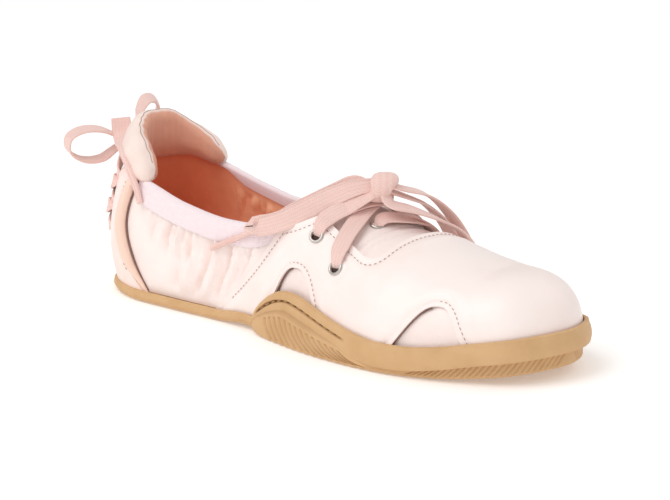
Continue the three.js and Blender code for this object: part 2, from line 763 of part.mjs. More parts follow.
function makeHeelPad() {
  const { peak, end, reach } = HEEL_PAD;
  const [from, to] = [planAt(reach, MEDIAL) - 1, planAt(reach, LATERAL)];
  const strips = Array.from({ length: PAD_STEPS + 1 }, (_, i) => {
    const at = lerp(from, to, i / PAD_STEPS);
    const line = column((at + 1) % 1, at < 0 ? MEDIAL : LATERAL);
    const turn = Math.cos(((2 * i) / PAD_STEPS - 1) * (Math.PI / 2)) ** 2;
    const base = collarHeight(line.foot.x) + GAP;
    return PAD_RING.map(([offset, share]) => wallAt(line, base + share * lerp(end, peak, turn), offset));
  });
  return alongPath(strips, PAD_RING);
}

// Front lace: a cross between the eyelets and two runs up to the knot
function makeFrontCrossings() {
  const [rear, front] = FRONT_EYELETS;
  const middle = { x: (rear.x + front.x) / 2, y: 0 };
  const runs = OUTER_SIDES.flatMap(({ side, name }) => {
    const other = name === 'lateral' ? 'medial' : 'lateral';
    const cross = [
      over(front.x, side * front[name], LACE_LIFT),
      over((front.x + middle.x) / 2, (side * front[name]) / 2, LACE_LIFT),
      over(middle.x, middle.y, LACE_LIFT),
      over((middle.x + rear.x) / 2, (-side * rear[other]) / 2, LACE_LIFT),
      over(rear.x, -side * rear[other], LACE_LIFT),
    ];
    const toKnot = [
      over(rear.x, side * rear[name], LACE_LIFT),
      over(lerp(rear.x, KNOT.x, TO_KNOT.along), side * rear[name] * TO_KNOT.across, LACE_LIFT + TO_KNOT.rise),
      over(
        lerp(rear.x, KNOT.x, TO_KNOT.end),
        KNOT.y + side * (KNOT.across + TO_KNOT.clear),
        KNOT.lift - TO_KNOT.under,
      ),
    ];
    return [cross, toKnot];
  });
  return geometryOf(joinAll(runs.map((points) => solid(lace(lying(points))))));
}

// Heel lace: crosses between the eyelets and two runs up to the knot
function makeHeelCrossings() {
  const back = (z) => ({ at: wallAt(column(0, LATERAL), z, HEEL_LACE_OFFSET), normal: v3(-1, 0, 0) });
  const spot = (side, z) => heelSpot(side, z, HEEL_LACE_OFFSET);
  const crosses = HEEL_SLIT_HEIGHTS.slice(1).flatMap((z, i) => OUTER_SIDES.map(({ side }) => [
    spot(side, HEEL_SLIT_HEIGHTS[i]),
    back((z + HEEL_SLIT_HEIGHTS[i]) / 2),
    spot(-side, z),
  ]));
  const top = HEEL_SLIT_HEIGHTS[HEEL_SLIT_HEIGHTS.length - 1];
  const toKnot = OUTER_SIDES.map(({ side }) => [
    spot(side, top),
    {
      at: v3(HEEL_KNOT.x, side * HEEL_KNOT.across, HEEL_KNOT.z - HEEL_KNOT.up - LACE.width / 2),
      normal: v3(-1, 0, 0),
    },
  ]);
  return geometryOf(joinAll([...crosses, ...toKnot].map((points) => solid(lace(lying(points))))));
}

// Loops and ends of the two bows, each a smooth curve through points set by hand
const BOWS = [
  {
    name: 'front_loop_lateral',
    route: folded([
      over(134.5, -1, 12.5), over(128, -9, 11.5), over(120, -17, 10.5), beside(LATERAL, 112, 50, 9.5),
      beside(LATERAL, 105, 45, 9), beside(LATERAL, 106, 43.8, 6.6),
      beside(LATERAL, 112, 47.5, 5.8), over(121, -18.5, 6), over(129, -10, 6.6), over(134.5, -3, 8),
    ]),
  },
  {
    name: 'front_end_lateral',
    route: lying([
      over(130, -3, 3.6), over(124, -13, 3), over(118, -20, 3), beside(LATERAL, 111, 46, 3),
      beside(LATERAL, 102, 42, 3), beside(LATERAL, 92, 40, 3),
      beside(LATERAL, 82, 39.2, 3), beside(LATERAL, 72, 39.4, 3),
    ]),
  },
  {
    name: 'front_loop_medial',
    route: folded([
      over(149, 5, 12.5), over(154, 14, 12), over(159, 22, 10.6), over(163, 29, 9),
      beside(MEDIAL, 167, 25, 7.4), beside(MEDIAL, 166, 25.5, 4.6),
      over(161.5, 28.5, 5), over(157.5, 22.5, 7), over(153, 15.5, 8), over(150, 8.5, 8.5),
    ]),
  },
  {
    name: 'front_end_medial',
    route: lying([
      over(151.5, -1.5, 8), over(158, 5, 6.5), over(165, 14, 4.8), over(171, 23, 4),
      beside(MEDIAL, 176, 26, 3.6), beside(MEDIAL, 178.5, 20, 3.6),
    ]),
  },
  {
    name: 'heel_loop_lateral',
    route: standing([
      v3(-4, -7.5, 66), v3(-7, -15, 69.5), v3(-10.5, -23, 70), v3(-13, -28.5, 67), v3(-13, -29, 61.5),
      v3(-10.5, -23.5, 57), v3(-7, -15, 56.5), v3(-4.5, -7.5, 60.5),
    ], v3(-0.75, 0.3, 0.6)),
  },
  {
    name: 'heel_loop_medial',
    route: standing([
      v3(-3, 7.2, 65.5), v3(-5, 13, 72), v3(-6, 19.5, 76), v3(-7, 25, 74.5), v3(-7, 26, 68.5),
      v3(-6.5, 21, 63.5), v3(-5.5, 13.5, 61), v3(-3.6, 7.2, 60.8),
    ], v3(-0.75, -0.3, 0.6)),
  },
  {
    name: 'heel_end_lateral',
    route: lying([
      { at: v3(-0.5, -7.5, 70), normal: v3(-1, -0.5, 0) },
      beside(LATERAL, 7, 69, 3.4), beside(LATERAL, 15, 67, 3.4),
      beside(LATERAL, 23, 61, 3.4), beside(LATERAL, 29, 54, 3.2), beside(LATERAL, 33, 46, 3),
    ]),
  },
  {
    name: 'heel_end_medial',
    route: lying([
      { at: v3(-7, 3.5, 57), normal: v3(-1, 0.2, 0) },
      beside(MEDIAL, 2.2, 48, 7.4), beside(MEDIAL, 2.3, 38, 7.2),
      beside(MEDIAL, 2.4, 28, 7), beside(MEDIAL, 2.5, 18, 6.6), beside(MEDIAL, 2.5, 10, 6.4),
    ]),
  },
];

// Finishes
function finish(color, roughness, metalness = 0) {
  return new THREE.MeshStandardMaterial({ color, roughness, metalness });
}

const GUM_RUBBER = finish(0xcda576, 0.6);
const PINK_NYLON = finish(0xfbe6e0, 0.5);
const PINK_OVERLAY = finish(0xfcece6, 0.45);
const LILAC_TONGUE = finish(0xf3dfe2, 0.6);
const TERRACOTTA_LINING = finish(0xc4714f, 0.8);
const PALE_ELASTIC = finish(0xf5e9ec, 0.7);
const BEIGE_PAD = finish(0xe8cfc4, 0.75);
const DUSTY_LACE = finish(0xddb3a8, 0.85);
const SILVER_METAL = finish(0xc9c5c2, 0.3, 1);

// Assembly
const shoe = new THREE.Group();
const bows = new THREE.Group();

function addPiece(name, geometry, material, group = shoe) {
  geometry.computeVertexNormals();
  const mesh = new THREE.Mesh(geometry, material);
  mesh.name = name;
  group.add(mesh);
  return mesh;
}

function addEyelet(name, size, depth, material, { at, normal }) {
  const mesh = addPiece(name, eyeletRing(size, depth), material);
  mesh.position.copy(at);
  mesh.quaternion.copy(facing(normal));
}

addPiece('outsole', makeOutsole(), GUM_RUBBER);
addPiece('insole', makeInsole(), TERRACOTTA_LINING);
addPiece('upper', makeUpper(), PINK_NYLON);
addPiece('vamp_overlay', makeOverlay(), PINK_OVERLAY);
addPiece('tongue', makeTongue(), LILAC_TONGUE);
addPiece('heel_pad', makeHeelPad(), BEIGE_PAD);
OUTER_SIDES.forEach(({ side, name }) => {
  addPiece(`heel_counter_${name}`, makeCounter(side), PINK_OVERLAY);
  addPiece(`collar_elastic_${name}`, makeElastic(side), PALE_ELASTIC);
  HEEL_SLIT_HEIGHTS.forEach((z, i) => addEyelet(
    `heel_slit_${name}_${i + 1}`, HEEL_SLIT, COUNTER_WALL, PINK_OVERLAY,
    heelSpot(side, z, GAP + COUNTER_WALL),
  ));
});
const flapFace = GAP + OVERLAY_WALL;
frontEyelets.forEach(({ name, x, y }) => addEyelet(
  name, EYELET, flapFace + UPPER_WALL, SILVER_METAL,
  { at: overTop(x, y, flapFace), normal: topNormal(x, y) },
));
const tongueFace = -UPPER_WALL - GAP;
tongueEyelets.forEach(({ name, x, y }) => addEyelet(
  name, EYELET, TONGUE_WALL, SILVER_METAL,
  { at: overTop(x, y, tongueFace + GAP / 2), normal: topNormal(x, y) },
));
addPiece('front_lace_crossings', makeFrontCrossings(), DUSTY_LACE);
addPiece('heel_lace_crossings', makeHeelCrossings(), DUSTY_LACE);

const frontKnot = addPiece('front_lace_knot', knotBall(KNOT), DUSTY_LACE, bows);
frontKnot.position.copy(overTop(KNOT.x, KNOT.y, KNOT.lift));
const heelKnot = addPiece('heel_lace_knot', knotBall(HEEL_KNOT), DUSTY_LACE, bows);
heelKnot.position.set(HEEL_KNOT.x, HEEL_KNOT.y, HEEL_KNOT.z);
BOWS.forEach(({ name, route }) => addPiece(name, lace(route), DUSTY_LACE, bows));

// Origin under the middle of the shoe, without the bows
const part = new THREE.Group();
const box = new THREE.Box3().setFromObject(shoe, true);
const middle = box.getCenter(v3());
part.position.set(-middle.x, -middle.y, -box.min.z);
part.add(shoe, bows);

export default part;
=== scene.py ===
"""Lace-up ballet flat for the right foot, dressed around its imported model.

Sizes are millimetres in the shop frame of the last: X runs from the back of the heel to
the toe, the outer side of the foot is at negative Y and Z is up. Meshes are set in metres
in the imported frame.
"""

from __future__ import annotations

import logging
import math
from dataclasses import dataclass
from enum import Enum
from functools import partial
from typing import Callable, NamedTuple, Sequence, Union

import bpy
import numpy as np
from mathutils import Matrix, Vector
from mathutils.kdtree import KDTree


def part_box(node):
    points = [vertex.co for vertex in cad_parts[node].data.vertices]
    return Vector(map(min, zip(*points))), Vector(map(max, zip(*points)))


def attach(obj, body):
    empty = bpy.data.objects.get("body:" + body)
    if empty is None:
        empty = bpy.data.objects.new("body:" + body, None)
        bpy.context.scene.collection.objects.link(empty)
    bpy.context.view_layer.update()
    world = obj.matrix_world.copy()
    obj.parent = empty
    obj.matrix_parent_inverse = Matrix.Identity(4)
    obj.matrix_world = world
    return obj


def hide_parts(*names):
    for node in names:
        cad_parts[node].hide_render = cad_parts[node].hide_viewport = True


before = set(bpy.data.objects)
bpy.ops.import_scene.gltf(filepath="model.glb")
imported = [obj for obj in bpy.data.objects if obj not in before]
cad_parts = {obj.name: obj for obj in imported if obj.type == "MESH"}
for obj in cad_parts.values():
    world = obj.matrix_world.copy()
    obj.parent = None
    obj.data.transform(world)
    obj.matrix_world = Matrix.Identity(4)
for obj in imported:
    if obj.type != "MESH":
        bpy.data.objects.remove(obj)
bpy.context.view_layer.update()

Array = np.ndarray
Piece = bpy.types.Object
Material = bpy.types.Material
Tint = tuple[int, int, int]

MM = 0.001
CM = 10.0
TINY = 1e-9
CENTRIPETAL = 0.25
FULL_TURN = 2.0 * math.pi
UP = np.array((0.0, 0.0, 1.0))
BACKWARDS = np.array((-1.0, 0.0, 0.0))
BODY = "root"
# Mesh number that mixes in a finish's second tint. In crease valleys and the sole's channel, grooves and
# ledge it is painted shade; on the pad's inside and the counter's roll it is their real peach.
SHADE = "shade"
MERGE = 2e-6
SOLE_ANGLE = math.radians(32)
SMOOTH_ANGLE = math.radians(38)
SOFT_ANGLE = math.radians(60)
ROUND_ANGLE = math.radians(80)
SELECT_ALL = partial(bpy.ops.mesh.select_all, action="SELECT")
FACE_OUT = partial(bpy.ops.mesh.normals_make_consistent, inside=False)
LOG = logging.getLogger("ballet_flat")


class Side(Enum):
    """The two sides of the shoe, by the sign of Y."""

    LATERAL = -1
    MEDIAL = 1

    @property
    def word(self) -> str:
        """The side's name as node names spell it."""
        return self.name.lower()


class Slot(Enum):
    """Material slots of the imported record."""

    GUM = "gum_rubber"
    LINING = "terracotta_lining"
    NYLON = "pink_nylon"
    OVERLAY = "pink_overlay"
    TONGUE = "lilac_tongue"
    PAD = "beige_pad"
    ELASTIC = "pale_elastic"
    METAL = "silver_metal"
    LACE = "dusty_lace"


class Spot(NamedTuple):
    """Points on a surface and the way it faces there."""

    at: Array
    normal: Array


def ease(value: Array, low: float, high: float) -> Array:
    """Soft step from 0 at low to 1 at high."""
    share = np.clip((np.asarray(value, float) - low) / (high - low), 0.0, 1.0)
    return share * share * (3.0 - 2.0 * share)


def hump(value: Array, middle: float, half: float) -> Array:
    """Soft hump of height 1 at middle that ends half to either side."""
    share = np.clip(np.abs(np.asarray(value, float) - middle) / half, 0.0, 1.0)
    return np.cos(share * np.pi / 2.0) ** 2


def ripple(value: Array, waves: Sequence[tuple]) -> Array:
    """Sum of sine waves, each given by its size, rate and lag."""
    return sum(size * np.sin(value * rate + lag) for size, rate, lag in waves)


def blend(first: Array, second: Array, share: Array) -> Array:
    """Straight mix of two values."""
    return first + (second - first) * share


def unit(vectors: Array) -> Array:
    """Vectors at length 1."""
    return vectors / np.maximum(np.linalg.norm(vectors, axis=-1, keepdims=True), TINY)


def circle(count: int) -> Array:
    """Even angles round a full turn."""
    return np.linspace(0.0, FULL_TURN, count, endpoint=False)


def squared(wave: Array, power: float) -> Array:
    """Sine or cosine with its rounds made fuller by a power below 1."""
    return np.sign(wave) * np.abs(wave) ** power


def level(ways: Array) -> Array:
    """Directions in plan as level directions in space."""
    return np.concatenate([ways, np.zeros((len(ways), 1))], axis=1)


def run_length(points: Array) -> Array:
    """Distance along a line of points, from its first one."""
    steps = np.linalg.norm(np.diff(points, axis=0), axis=1)
    return np.concatenate([[0.0], np.cumsum(steps)])


def run_lengths(lines: Array) -> Array:
    """Distance along each of several lines of points, from its first one."""
    steps = np.linalg.norm(np.diff(lines, axis=1), axis=2)
    return np.concatenate([np.zeros((len(lines), 1)), steps.cumsum(axis=1)], axis=1)


def sample(rows: Array, marks: Array, places: Array) -> Array:
    """Rows of a table, read off at places between the marks of its rows."""
    return np.stack([np.interp(places, marks, column) for column in rows.T], axis=-1)


def set_right(line: Array, distance: float) -> Array:
    """Line in a plane, moved to its right by a distance."""
    way = np.gradient(line, axis=0)
    return line + distance * unit(np.stack([way[:, 1], -way[:, 0]], axis=1))


def smooth_path(points: Sequence[Sequence[float]], steps: int, closed: bool = False) -> Array:
    """Even-handed curve through points.

    Args:
        points: the points it passes.
        steps: points made for each span.
        closed: whether the last point leads back to the first.

    Returns:
        The points of the curve.
    """
    pts = np.asarray(points, float)
    if closed:
        ring = np.concatenate([pts[-1:], pts, pts[:2]])
    else:
        ring = np.concatenate([2 * pts[:1] - pts[1:2], pts, 2 * pts[-1:] - pts[-2:-1]])
    p0, p1, p2, p3 = ring[:-3], ring[1:-2], ring[2:-1], ring[3:]
    d0, d1, d2 = (
        np.maximum(np.sum((b - a) ** 2, axis=1, keepdims=True), TINY) ** CENTRIPETAL
        for a, b in ((p0, p1), (p1, p2), (p2, p3))
    )
    out = (((p1 - p0) / d0 - (p2 - p0) / (d0 + d1) + (p2 - p1) / d1) * d1)[:, None]
    back = (((p2 - p1) / d1 - (p3 - p1) / (d1 + d2) + (p3 - p2) / d2) * d1)[:, None]
    a, b = p1[:, None], p2[:, None]
    s = (np.arange(steps) / steps)[None, :, None]
    bend = -3 * a + 3 * b - 2 * out - back
    twist = 2 * a - 2 * b + out + back
    curve = (a + out * s + bend * s**2 + twist * s**3).reshape(-1, pts.shape[1])
    return curve if closed else np.concatenate([curve, pts[-1:]])


def bezier(corners: Sequence[Sequence[float]], steps: int) -> Array:
    """Bezier curve of any degree, without its last point."""
    rest = [np.asarray(c, float)[None] for c in corners]
    share = (np.arange(steps) / steps)[:, None]
    while len(rest) > 1:
        rest = [blend(a, b, share) for a, b in zip(rest, rest[1:])]
    return rest[0]


def inside_distance(points: Array, outline: Array) -> Array:
    """Distance of points from an outline, positive inside it.

    Args:
        points: points in the plane of the outline.
        outline: its corners in order.

    Returns:
        One signed distance for each point.
    """
    best = np.full(len(points), np.inf)
    inner = np.zeros(len(points), bool)
    for a, b in zip(outline, np.roll(outline, -1, axis=0)):
        edge, way = b - a, points - a
        share = np.clip(way @ edge / max(edge @ edge, TINY), 0.0, 1.0)
        best = np.minimum(best, np.linalg.norm(way - share[:, None] * edge, axis=1))
        if a[1] != b[1]:
            spans = (a[1] > points[:, 1]) != (b[1] > points[:, 1])
            inner ^= spans & (points[:, 0] < a[0] + edge[0] * way[:, 1] / edge[1])
    return np.where(inner, best, -best)


class Track:
    """Smooth curve through the rows of a table that never overshoots them."""

    def __init__(self, rows: Sequence[Sequence[float]], column: int = 1) -> None:
        """Takes the rows and the column that the curve gives."""
        table = np.array(rows, float)
        self.xs, self.ys = table[:, 0], table[:, column]
        slopes = np.diff(self.ys) / np.diff(self.xs)
        before, after = slopes[:-1], slopes[1:]
        both = before * after
        mean = 2 * both / np.where(both > 0, before + after, 1.0)
        inner = np.where(both > 0, mean, 0.0)
        self.tangents = np.concatenate([slopes[:1], inner, slopes[-1:]])

    def __call__(self, x: Array) -> Array:
        """The curve's value at x."""
        at = np.clip(x, self.xs[0], self.xs[-1])
        i = np.clip(np.searchsorted(self.xs, at) - 1, 0, len(self.xs) - 2)
        span = self.xs[i + 1] - self.xs[i]
        s = (at - self.xs[i]) / span
        s2, s3 = s * s, s * s * s
        ends = (2 * s3 - 3 * s2 + 1) * self.ys[i] + (3 * s2 - 2 * s3) * self.ys[i + 1]
        pull = (s3 - 2 * s2 + s) * self.tangents[i] + (s3 - s2) * self.tangents[i + 1]
        return ends + span * pull


@dataclass
class Last:
    """The form that the shoe is built on, with the sole's own heights under it."""

    heel_back: float = 1.5
    length: float = 243.0
    ball: float = 77.0
    instep: float = 57.0
    heel_spine: float = 30.0
    toe_spine: float = 212.0
    roundness: float = 2.2
    toe_roundness: float = 2.8
    toe_blend: float = 190.0
    swell: float = 2.4
    swell_top: float = 52.0
    swell_end: float = 80.0
    crown: tuple = (90.0, 150.0)
    gap: float = 0.3
    heel_slab: float = 4.0
    fore_slab: float = 6.5
    slab_rise: tuple = (92.0, 128.0)
    spring: tuple = (186.0, 249.0, 6.0)
    arch: tuple = (76.0, 116.0, 1.6)
    tread_drop: float = 0.5
    toe_share: float = 0.078
    outline_steps: int = 300
    turn_step: float = 0.002
    probe: float = 1.0
    plan: tuple = (
        (0.0267, 0.221, 0.221), (0.0926, 0.34, 0.34), (0.1996, 0.357, 0.357),
        (0.3148, 0.351, 0.338), (0.4259, 0.377, 0.325), (0.5288, 0.442, 0.357),
        (0.6317, 0.497, 0.429), (0.7263, 0.513, 0.487), (0.8169, 0.461, 0.481),
        (0.8951, 0.366, 0.434), (0.9609, 0.228, 0.335),
    )
    ridge: tuple = (
        (0.1173, 1.965, 0.0), (0.2819, 1.895, 0.0), (0.3642, 1.667, 0.5), (0.4465, 1.386, 1.5),
        (0.5082, 1.167, 2.0), (0.57, 1.0, 3.0), (0.6317, 0.91, 3.5), (0.6934, 0.845, 4.0),
        (0.7551, 0.79, 4.5), (0.8169, 0.74, 5.0), (0.8663, 0.71, 5.5),
    )
    collar_rows: tuple = (
        (-12.0, 57.0), (12.0, 57.0), (32.0, 52.5), (56.0, 46.5), (80.0, 43.5),
        (100.0, 44.5), (118.0, 48.5), (130.0, 54.0), (140.0, 61.0), (150.0, 74.0),
    )

    def __post_init__(self) -> None:
        """Works out the curves and the table of the sole line."""
        rows = [(self.along(a), h * self.instep, s) for a, h, s in self.ridge]
        self.ridge_height, self.ridge_shift = Track(rows, 1), Track(rows, 2)
        self.collar = Track(self.collar_rows)
        outer = [(self.along(a), -lat * self.ball) for a, lat, _ in self.plan]
        inner = [(self.along(a), med * self.ball) for a, _, med in self.plan]
        toe = (self.along(1.0), self.toe_share * self.ball)
        corners = [(self.heel_back, 0.0), *outer, toe, *inner[::-1]]
        loop = smooth_path(corners, self.outline_steps, closed=True)
        tangent = unit(np.roll(loop, -1, axis=0) - np.roll(loop, 1, axis=0))
        self.loop = np.concatenate([loop, loop[:1]])
        self.out = np.stack([tangent[:, 1], -tangent[:, 0]], axis=1)
        self.out = np.concatenate([self.out, self.out[:1]])
        self.toe_index = (len(self.plan) + 1) * self.outline_steps
        lengths = run_length(self.loop)
        half = lengths[self.toe_index]
        front = lengths / half
        rear = 1.0 + (lengths - half) / (lengths[-1] - half)
        self.turns = np.where(lengths <= half, front, rear)
        self.half_length = half

    def along(self, share: float) -> float:
        """X at a share of the last's length."""
        return self.heel_back + share * self.length

    def sole_bottom(self, x: Array) -> Array:
        """Underside of the sole round its treads: flat heel, low arch, flat ball, toe spring."""
        start, tip, lift = self.spring
        rise = np.maximum(0.0, (x - start) / (tip - start))
        low, high, arch = self.arch
        share = np.clip((x - low) / (high - low), 0.0, 1.0)
        return self.tread_drop + lift * rise**2 + arch * np.sin(np.pi * share) ** 2

    def slab_top(self, x: Array) -> Array:
        """Top of the sole under the foot."""
        return self.sole_bottom(x) + blend(self.heel_slab, self.fore_slab, ease(x, *self.slab_rise))

    def wall_foot(self, x: Array) -> Array:
        """Height at which the upper's wall starts."""
        return self.slab_top(x) + self.gap

    def foot(self, turn: Array) -> tuple[Array, Array]:
        """Place on the sole line and the way out from it.

        Args:
            turn: 0 at the heel, 1 at the toe along the outer side, 2 back at the heel.

        Returns:
            The points and the outward directions, both in plan.
        """
        at = np.mod(turn, 2.0)
        return sample(self.loop, self.turns, at), unit(sample(self.out, self.turns, at))

    def turn_at(self, x: Array, side: Side) -> Array:
        """Turn at which one side of the sole line passes x."""
        k = self.toe_index + 1
        if side is Side.LATERAL:
            return np.interp(x, self.loop[:k, 0], self.turns[:k])
        return np.interp(x, self.loop[:k - 2:-1, 0], self.turns[:k - 2:-1])

    def section(self, turn: Array) -> tuple[Array, ...]:
        """What the wall's upright line at a turn needs.

        Args:
            turn: turns of the lines.

        Returns:
            Foot, outward direction, ridge point, roundness and foot height.
        """
        foot, out = self.foot(turn)
        x = foot[..., 0]
        spine_x = np.clip(x, self.heel_spine, self.toe_spine)
        spine = np.stack(
            [spine_x, self.ridge_shift(spine_x), self.ridge_height(spine_x)], axis=-1
        )
        toward = ease(x, self.toe_blend, self.along(1.0))
        return foot, out, spine, blend(self.roundness, self.toe_roundness, toward), self.wall_foot(x)

    def wall(self, turn: Array, z: Array, offset: Array = 0.0) -> Array:
        """Points on the last's wall.

        Args:
            turn: their turns.
            z: their heights.
            offset: how far out from the last they lie.

        Returns:
            The points.
        """
        turn, z, offset = np.broadcast_arrays(
            np.asarray(turn, float), np.asarray(z, float), np.asarray(offset, float)
        )
        foot, out, spine, power, low = self.section(turn)
        rise = np.clip((z - low) / (spine[..., 2] + offset - low), 0.0, 1.0)
        reach = (1.0 - rise**power) ** (1.0 / power)
        share = np.clip((z - low) / (self.swell_top - low), 0.0, 1.0)
        fade = 1.0 - ease(foot[..., 0], self.heel_spine, self.swell_end)
        grown = offset + self.swell * fade * np.sin(np.pi * share)
        plan = blend(spine[..., :2], foot + out * grown[..., None], reach[..., None])
        return np.concatenate([plan, z[..., None]], axis=-1)

    def shell(self, turn: Array, share: Array, offset: Array = 0.0) -> Array:
        """Points on the last, by how far up it they lie.

        Args:
            turn: their turns.
            share: their shares of the way from the last's foot to its ridge.
            offset: how far out from the last they lie.

        Returns:
            The points.
        """
        _, _, spine, power, low = self.section(np.asarray(turn, float))
        eased = np.sin(np.clip(share, 0.0, 1.0) * np.pi / 2.0) ** (2.0 / power)
        crowned = ease(spine[..., 0], *self.crown)
        z = blend(low, spine[..., 2] + offset, blend(share, eased, crowned))
        return self.wall(turn, z, offset)

    def wall_spot(self, turn: Array, z: Array, offset: Array = 0.0) -> Spot:
        """Points on the wall with the way it faces."""
        ahead = self.wall(turn + self.turn_step, z, offset)
        ahead = ahead - self.wall(turn - self.turn_step, z, offset)
        above = self.wall(turn, z + self.probe, offset) - self.wall(turn, z - self.probe, offset)
        return Spot(self.wall(turn, z, offset), unit(np.cross(ahead, above)))

    def top(self, x: Array, y: Array) -> Array:
        """Height of the instep or forefoot over points of the plan.

        Args:
            x: their places along the shoe.
            y: their places across it.

        Returns:
            One height for each point.
        """
        lateral = y < self.ridge_shift(x)
        turn = np.where(lateral, self.turn_at(x, Side.LATERAL), self.turn_at(x, Side.MEDIAL))
        foot, _, spine, power, low = self.section(turn)
        share = np.abs(y - spine[..., 1]) / np.abs(foot[..., 1] - spine[..., 1])
        rise = (1.0 - np.clip(share, 0.0, 1.0) ** power) ** (1.0 / power)
        return blend(low, spine[..., 2], rise)

    def over(self, x: Array, y: Array, lift: Array) -> Spot:
        """Points over the instep.

        Args:
            x: their places along the shoe.
            y: their places across it.
            lift: how far they are raised along the way the instep faces.

        Returns:
            The points and the way the instep faces there.
        """
        x, y, lift = np.broadcast_arrays(*(np.asarray(v, float) for v in (x, y, lift)))
        dx = self.top(x + self.probe, y) - self.top(x - self.probe, y)
        dy = self.top(x, y + self.probe) - self.top(x, y - self.probe)
        normal = unit(np.stack([-dx, -dy, np.full_like(dx, 2.0 * self.probe)], axis=-1))
        at = np.stack([x, y, self.top(x, y)], axis=-1)
        return Spot(at + normal * lift[..., None], normal)

    def beside(self, side: Side, x: float, z: float, offset: float) -> Spot:
        """A point beside the wall, facing straight out."""
        turn = self.turn_at(x, side)
        _, out = self.foot(turn)
        return Spot(self.wall(turn, z, offset), np.append(out, 0.0))

    def columns(self, start: float, heel: int, step: float, toe: int) -> Array:
        """Turns of upright lines that meet in pairs on the ridge.

        Args:
            start: rearmost x, or the heel's back where it lies behind the heel's ridge.
            heel: lines round each half of the heel.
            step: distance between the lines along the sides.
            toe: lines round each half of the toe.

        Returns:
            The turns in order, round the toe.
        """
        first = max(start, self.heel_spine)
        xs = np.linspace(first, self.toe_spine, int((self.toe_spine - first) / step) + 1)
        outer = self.turn_at(xs, Side.LATERAL)
        inner = self.turn_at(xs, Side.MEDIAL)[::-1]
        nose = np.linspace(outer[-1], inner[0], 2 * toe + 1)[1:-1]
        if start > self.heel_spine:
            return np.concatenate([outer, nose, inner])
        rear = np.linspace(0.0, outer[0], heel + 1)[:-1]
        back = np.linspace(inner[-1], 2.0, heel + 1)[1:]
        return np.concatenate([rear, outer, nose, inner, back])


@dataclass
class Pattern:
    """Edges that the cloth pieces are cut to, and the places of eyelets and slits."""

    last: Last
    throat_rows: tuple = (
        (96.0, 16.0, 16.0), (126.0, 18.5, 16.5), (138.0, 19.5, 18.0),
        (150.0, 22.0, 20.5), (157.0, 23.5, 21.5),
    )
    throat_front: tuple = (166.0, 172.0)
    corner_reach: float = 5.0
    corner_bulge: float = 2.5
    corner_lead: float = 1.0
    arches: tuple = ((108.0, 128.0, 147.0, 33.0), (183.5, 204.0, 221.0, 29.5))
    arch_rise: tuple = ((0.55, 0.75), (0.6, 1.0))
    arch_fall: tuple = ((0.4, 1.0), (0.62, 0.62))
    rear_edge: tuple = (76.0, 114.0, 47.0)
    rear_bow: float = 2.2
    rear_past: float = 1.2
    eyelets: tuple = (("rear", 133.0, -24.5, 25.0), ("front", 149.0, -30.0, 28.0))
    eyelet_hole: float = 2.5
    tongue_eyelets: tuple = (150.0, 5.5)
    slits: tuple = (27.0, 38.5, 49.5)
    slit_x: float = 7.5
    edge_steps: int = 14
    side_steps: int = 56

    def throat(self) -> Array:
        """Outline of the throat, seen from above, from its outer rear round the front."""
        rows = np.array(self.throat_rows)
        xs = np.linspace(rows[0, 0], rows[-1, 0], self.side_steps)
        outer = np.stack([xs, -Track(rows, 1)(xs)], axis=1)
        inner = np.stack([xs, Track(rows, 2)(xs)], axis=1)
        (x, lat, med), (front, back) = rows[-1], self.throat_front
        lead, reach, bulge = self.corner_lead, self.corner_reach, self.corner_bulge
        near = [(x, -lat), (front, -lat - bulge), (front + lead, -lat + reach)]
        far = [(back, med - reach), (back + lead, med + bulge), (x, med)]
        near, far = bezier(near, self.edge_steps), bezier(far, self.edge_steps)
        across = bezier([near[-1], far[0]], self.edge_steps)[1:]
        return np.concatenate([outer, near[1:], across, far, inner[::-1]])

    def arch(self, rows: tuple) -> Array:
        """Outline of one arched cut-out over the sole, seen from the side.

        Args:
            rows: X of its rear foot, top and front foot, and its height.

        Returns:
            The outline's corners in order.
        """
        start, top, end, height = rows
        foot, tail = self.last.wall_foot(np.array((start, end)))
        rise = [(blend(start, top, a), height * h) for a, h in self.arch_rise]
        fall = [(blend(top, end, a), height * h) for a, h in self.arch_fall]
        rear = bezier([(start, foot), *rise, (top, height)], self.edge_steps)
        front = bezier([(top, height), *fall, (end, tail)], self.edge_steps)
        return np.concatenate([[(start, 0.0)], rear, front, [(end, tail), (end, 0.0)]])

    def opening(self, points: Array) -> Array:
        """Distance of points inside the edge of collar, throat and eyelet holes."""
        collar = self.last.collar(points[:, 0]) - points[:, 2]
        edge = np.minimum(collar, -inside_distance(points[:, :2], self.throat()))
        for _, x, *sides in self.eyelets:
            for y in sides:
                hole = self.last.over(x, y, 0.0).at
                edge = np.minimum(edge, np.linalg.norm(points - hole, axis=1) - self.eyelet_hole)
        return edge

    def rear_foot(self) -> float:
        """Height at which the overlay's rear edge starts."""
        return float(self.last.wall_foot(np.array(self.rear_edge[0])))

    def rear_line(self, points: Array) -> Array:
        """Distance of points in front of the overlay's rear edge, which bows back a little."""
        bottom, top, height = self.rear_edge
        low = self.rear_foot()
        way = np.array([top - bottom, height - low])
        share = np.clip((points[:, 2] - low) / (height - low), 0.0, self.rear_past)
        bow = self.rear_bow * np.sin(np.pi * share)
        gone = points[:, [0, 2]] - (bottom, low)
        return (gone[:, 0] * way[1] - gone[:, 1] * way[0]) / np.linalg.norm(way) - bow

    def arch_distance(self, points: Array) -> Array:
        """Distance of points outside the arched cut-outs."""
        sides = points[:, [0, 2]]
        return np.min([-inside_distance(sides, self.arch(a)) for a in self.arches], axis=0)

    def overlay(self, points: Array) -> Array:
        """Distance of points inside the edges of the overlay."""
        edges = (self.opening, self.rear_line, self.arch_distance)
        return np.min([edge(points) for edge in edges], axis=0)

    def slit(self, side: Side, z: float, offset: float) -> Spot:
        """A point on the line of one side's heel slits, with the way it faces."""
        return self.last.wall_spot(self.last.turn_at(self.slit_x, side), z, offset)


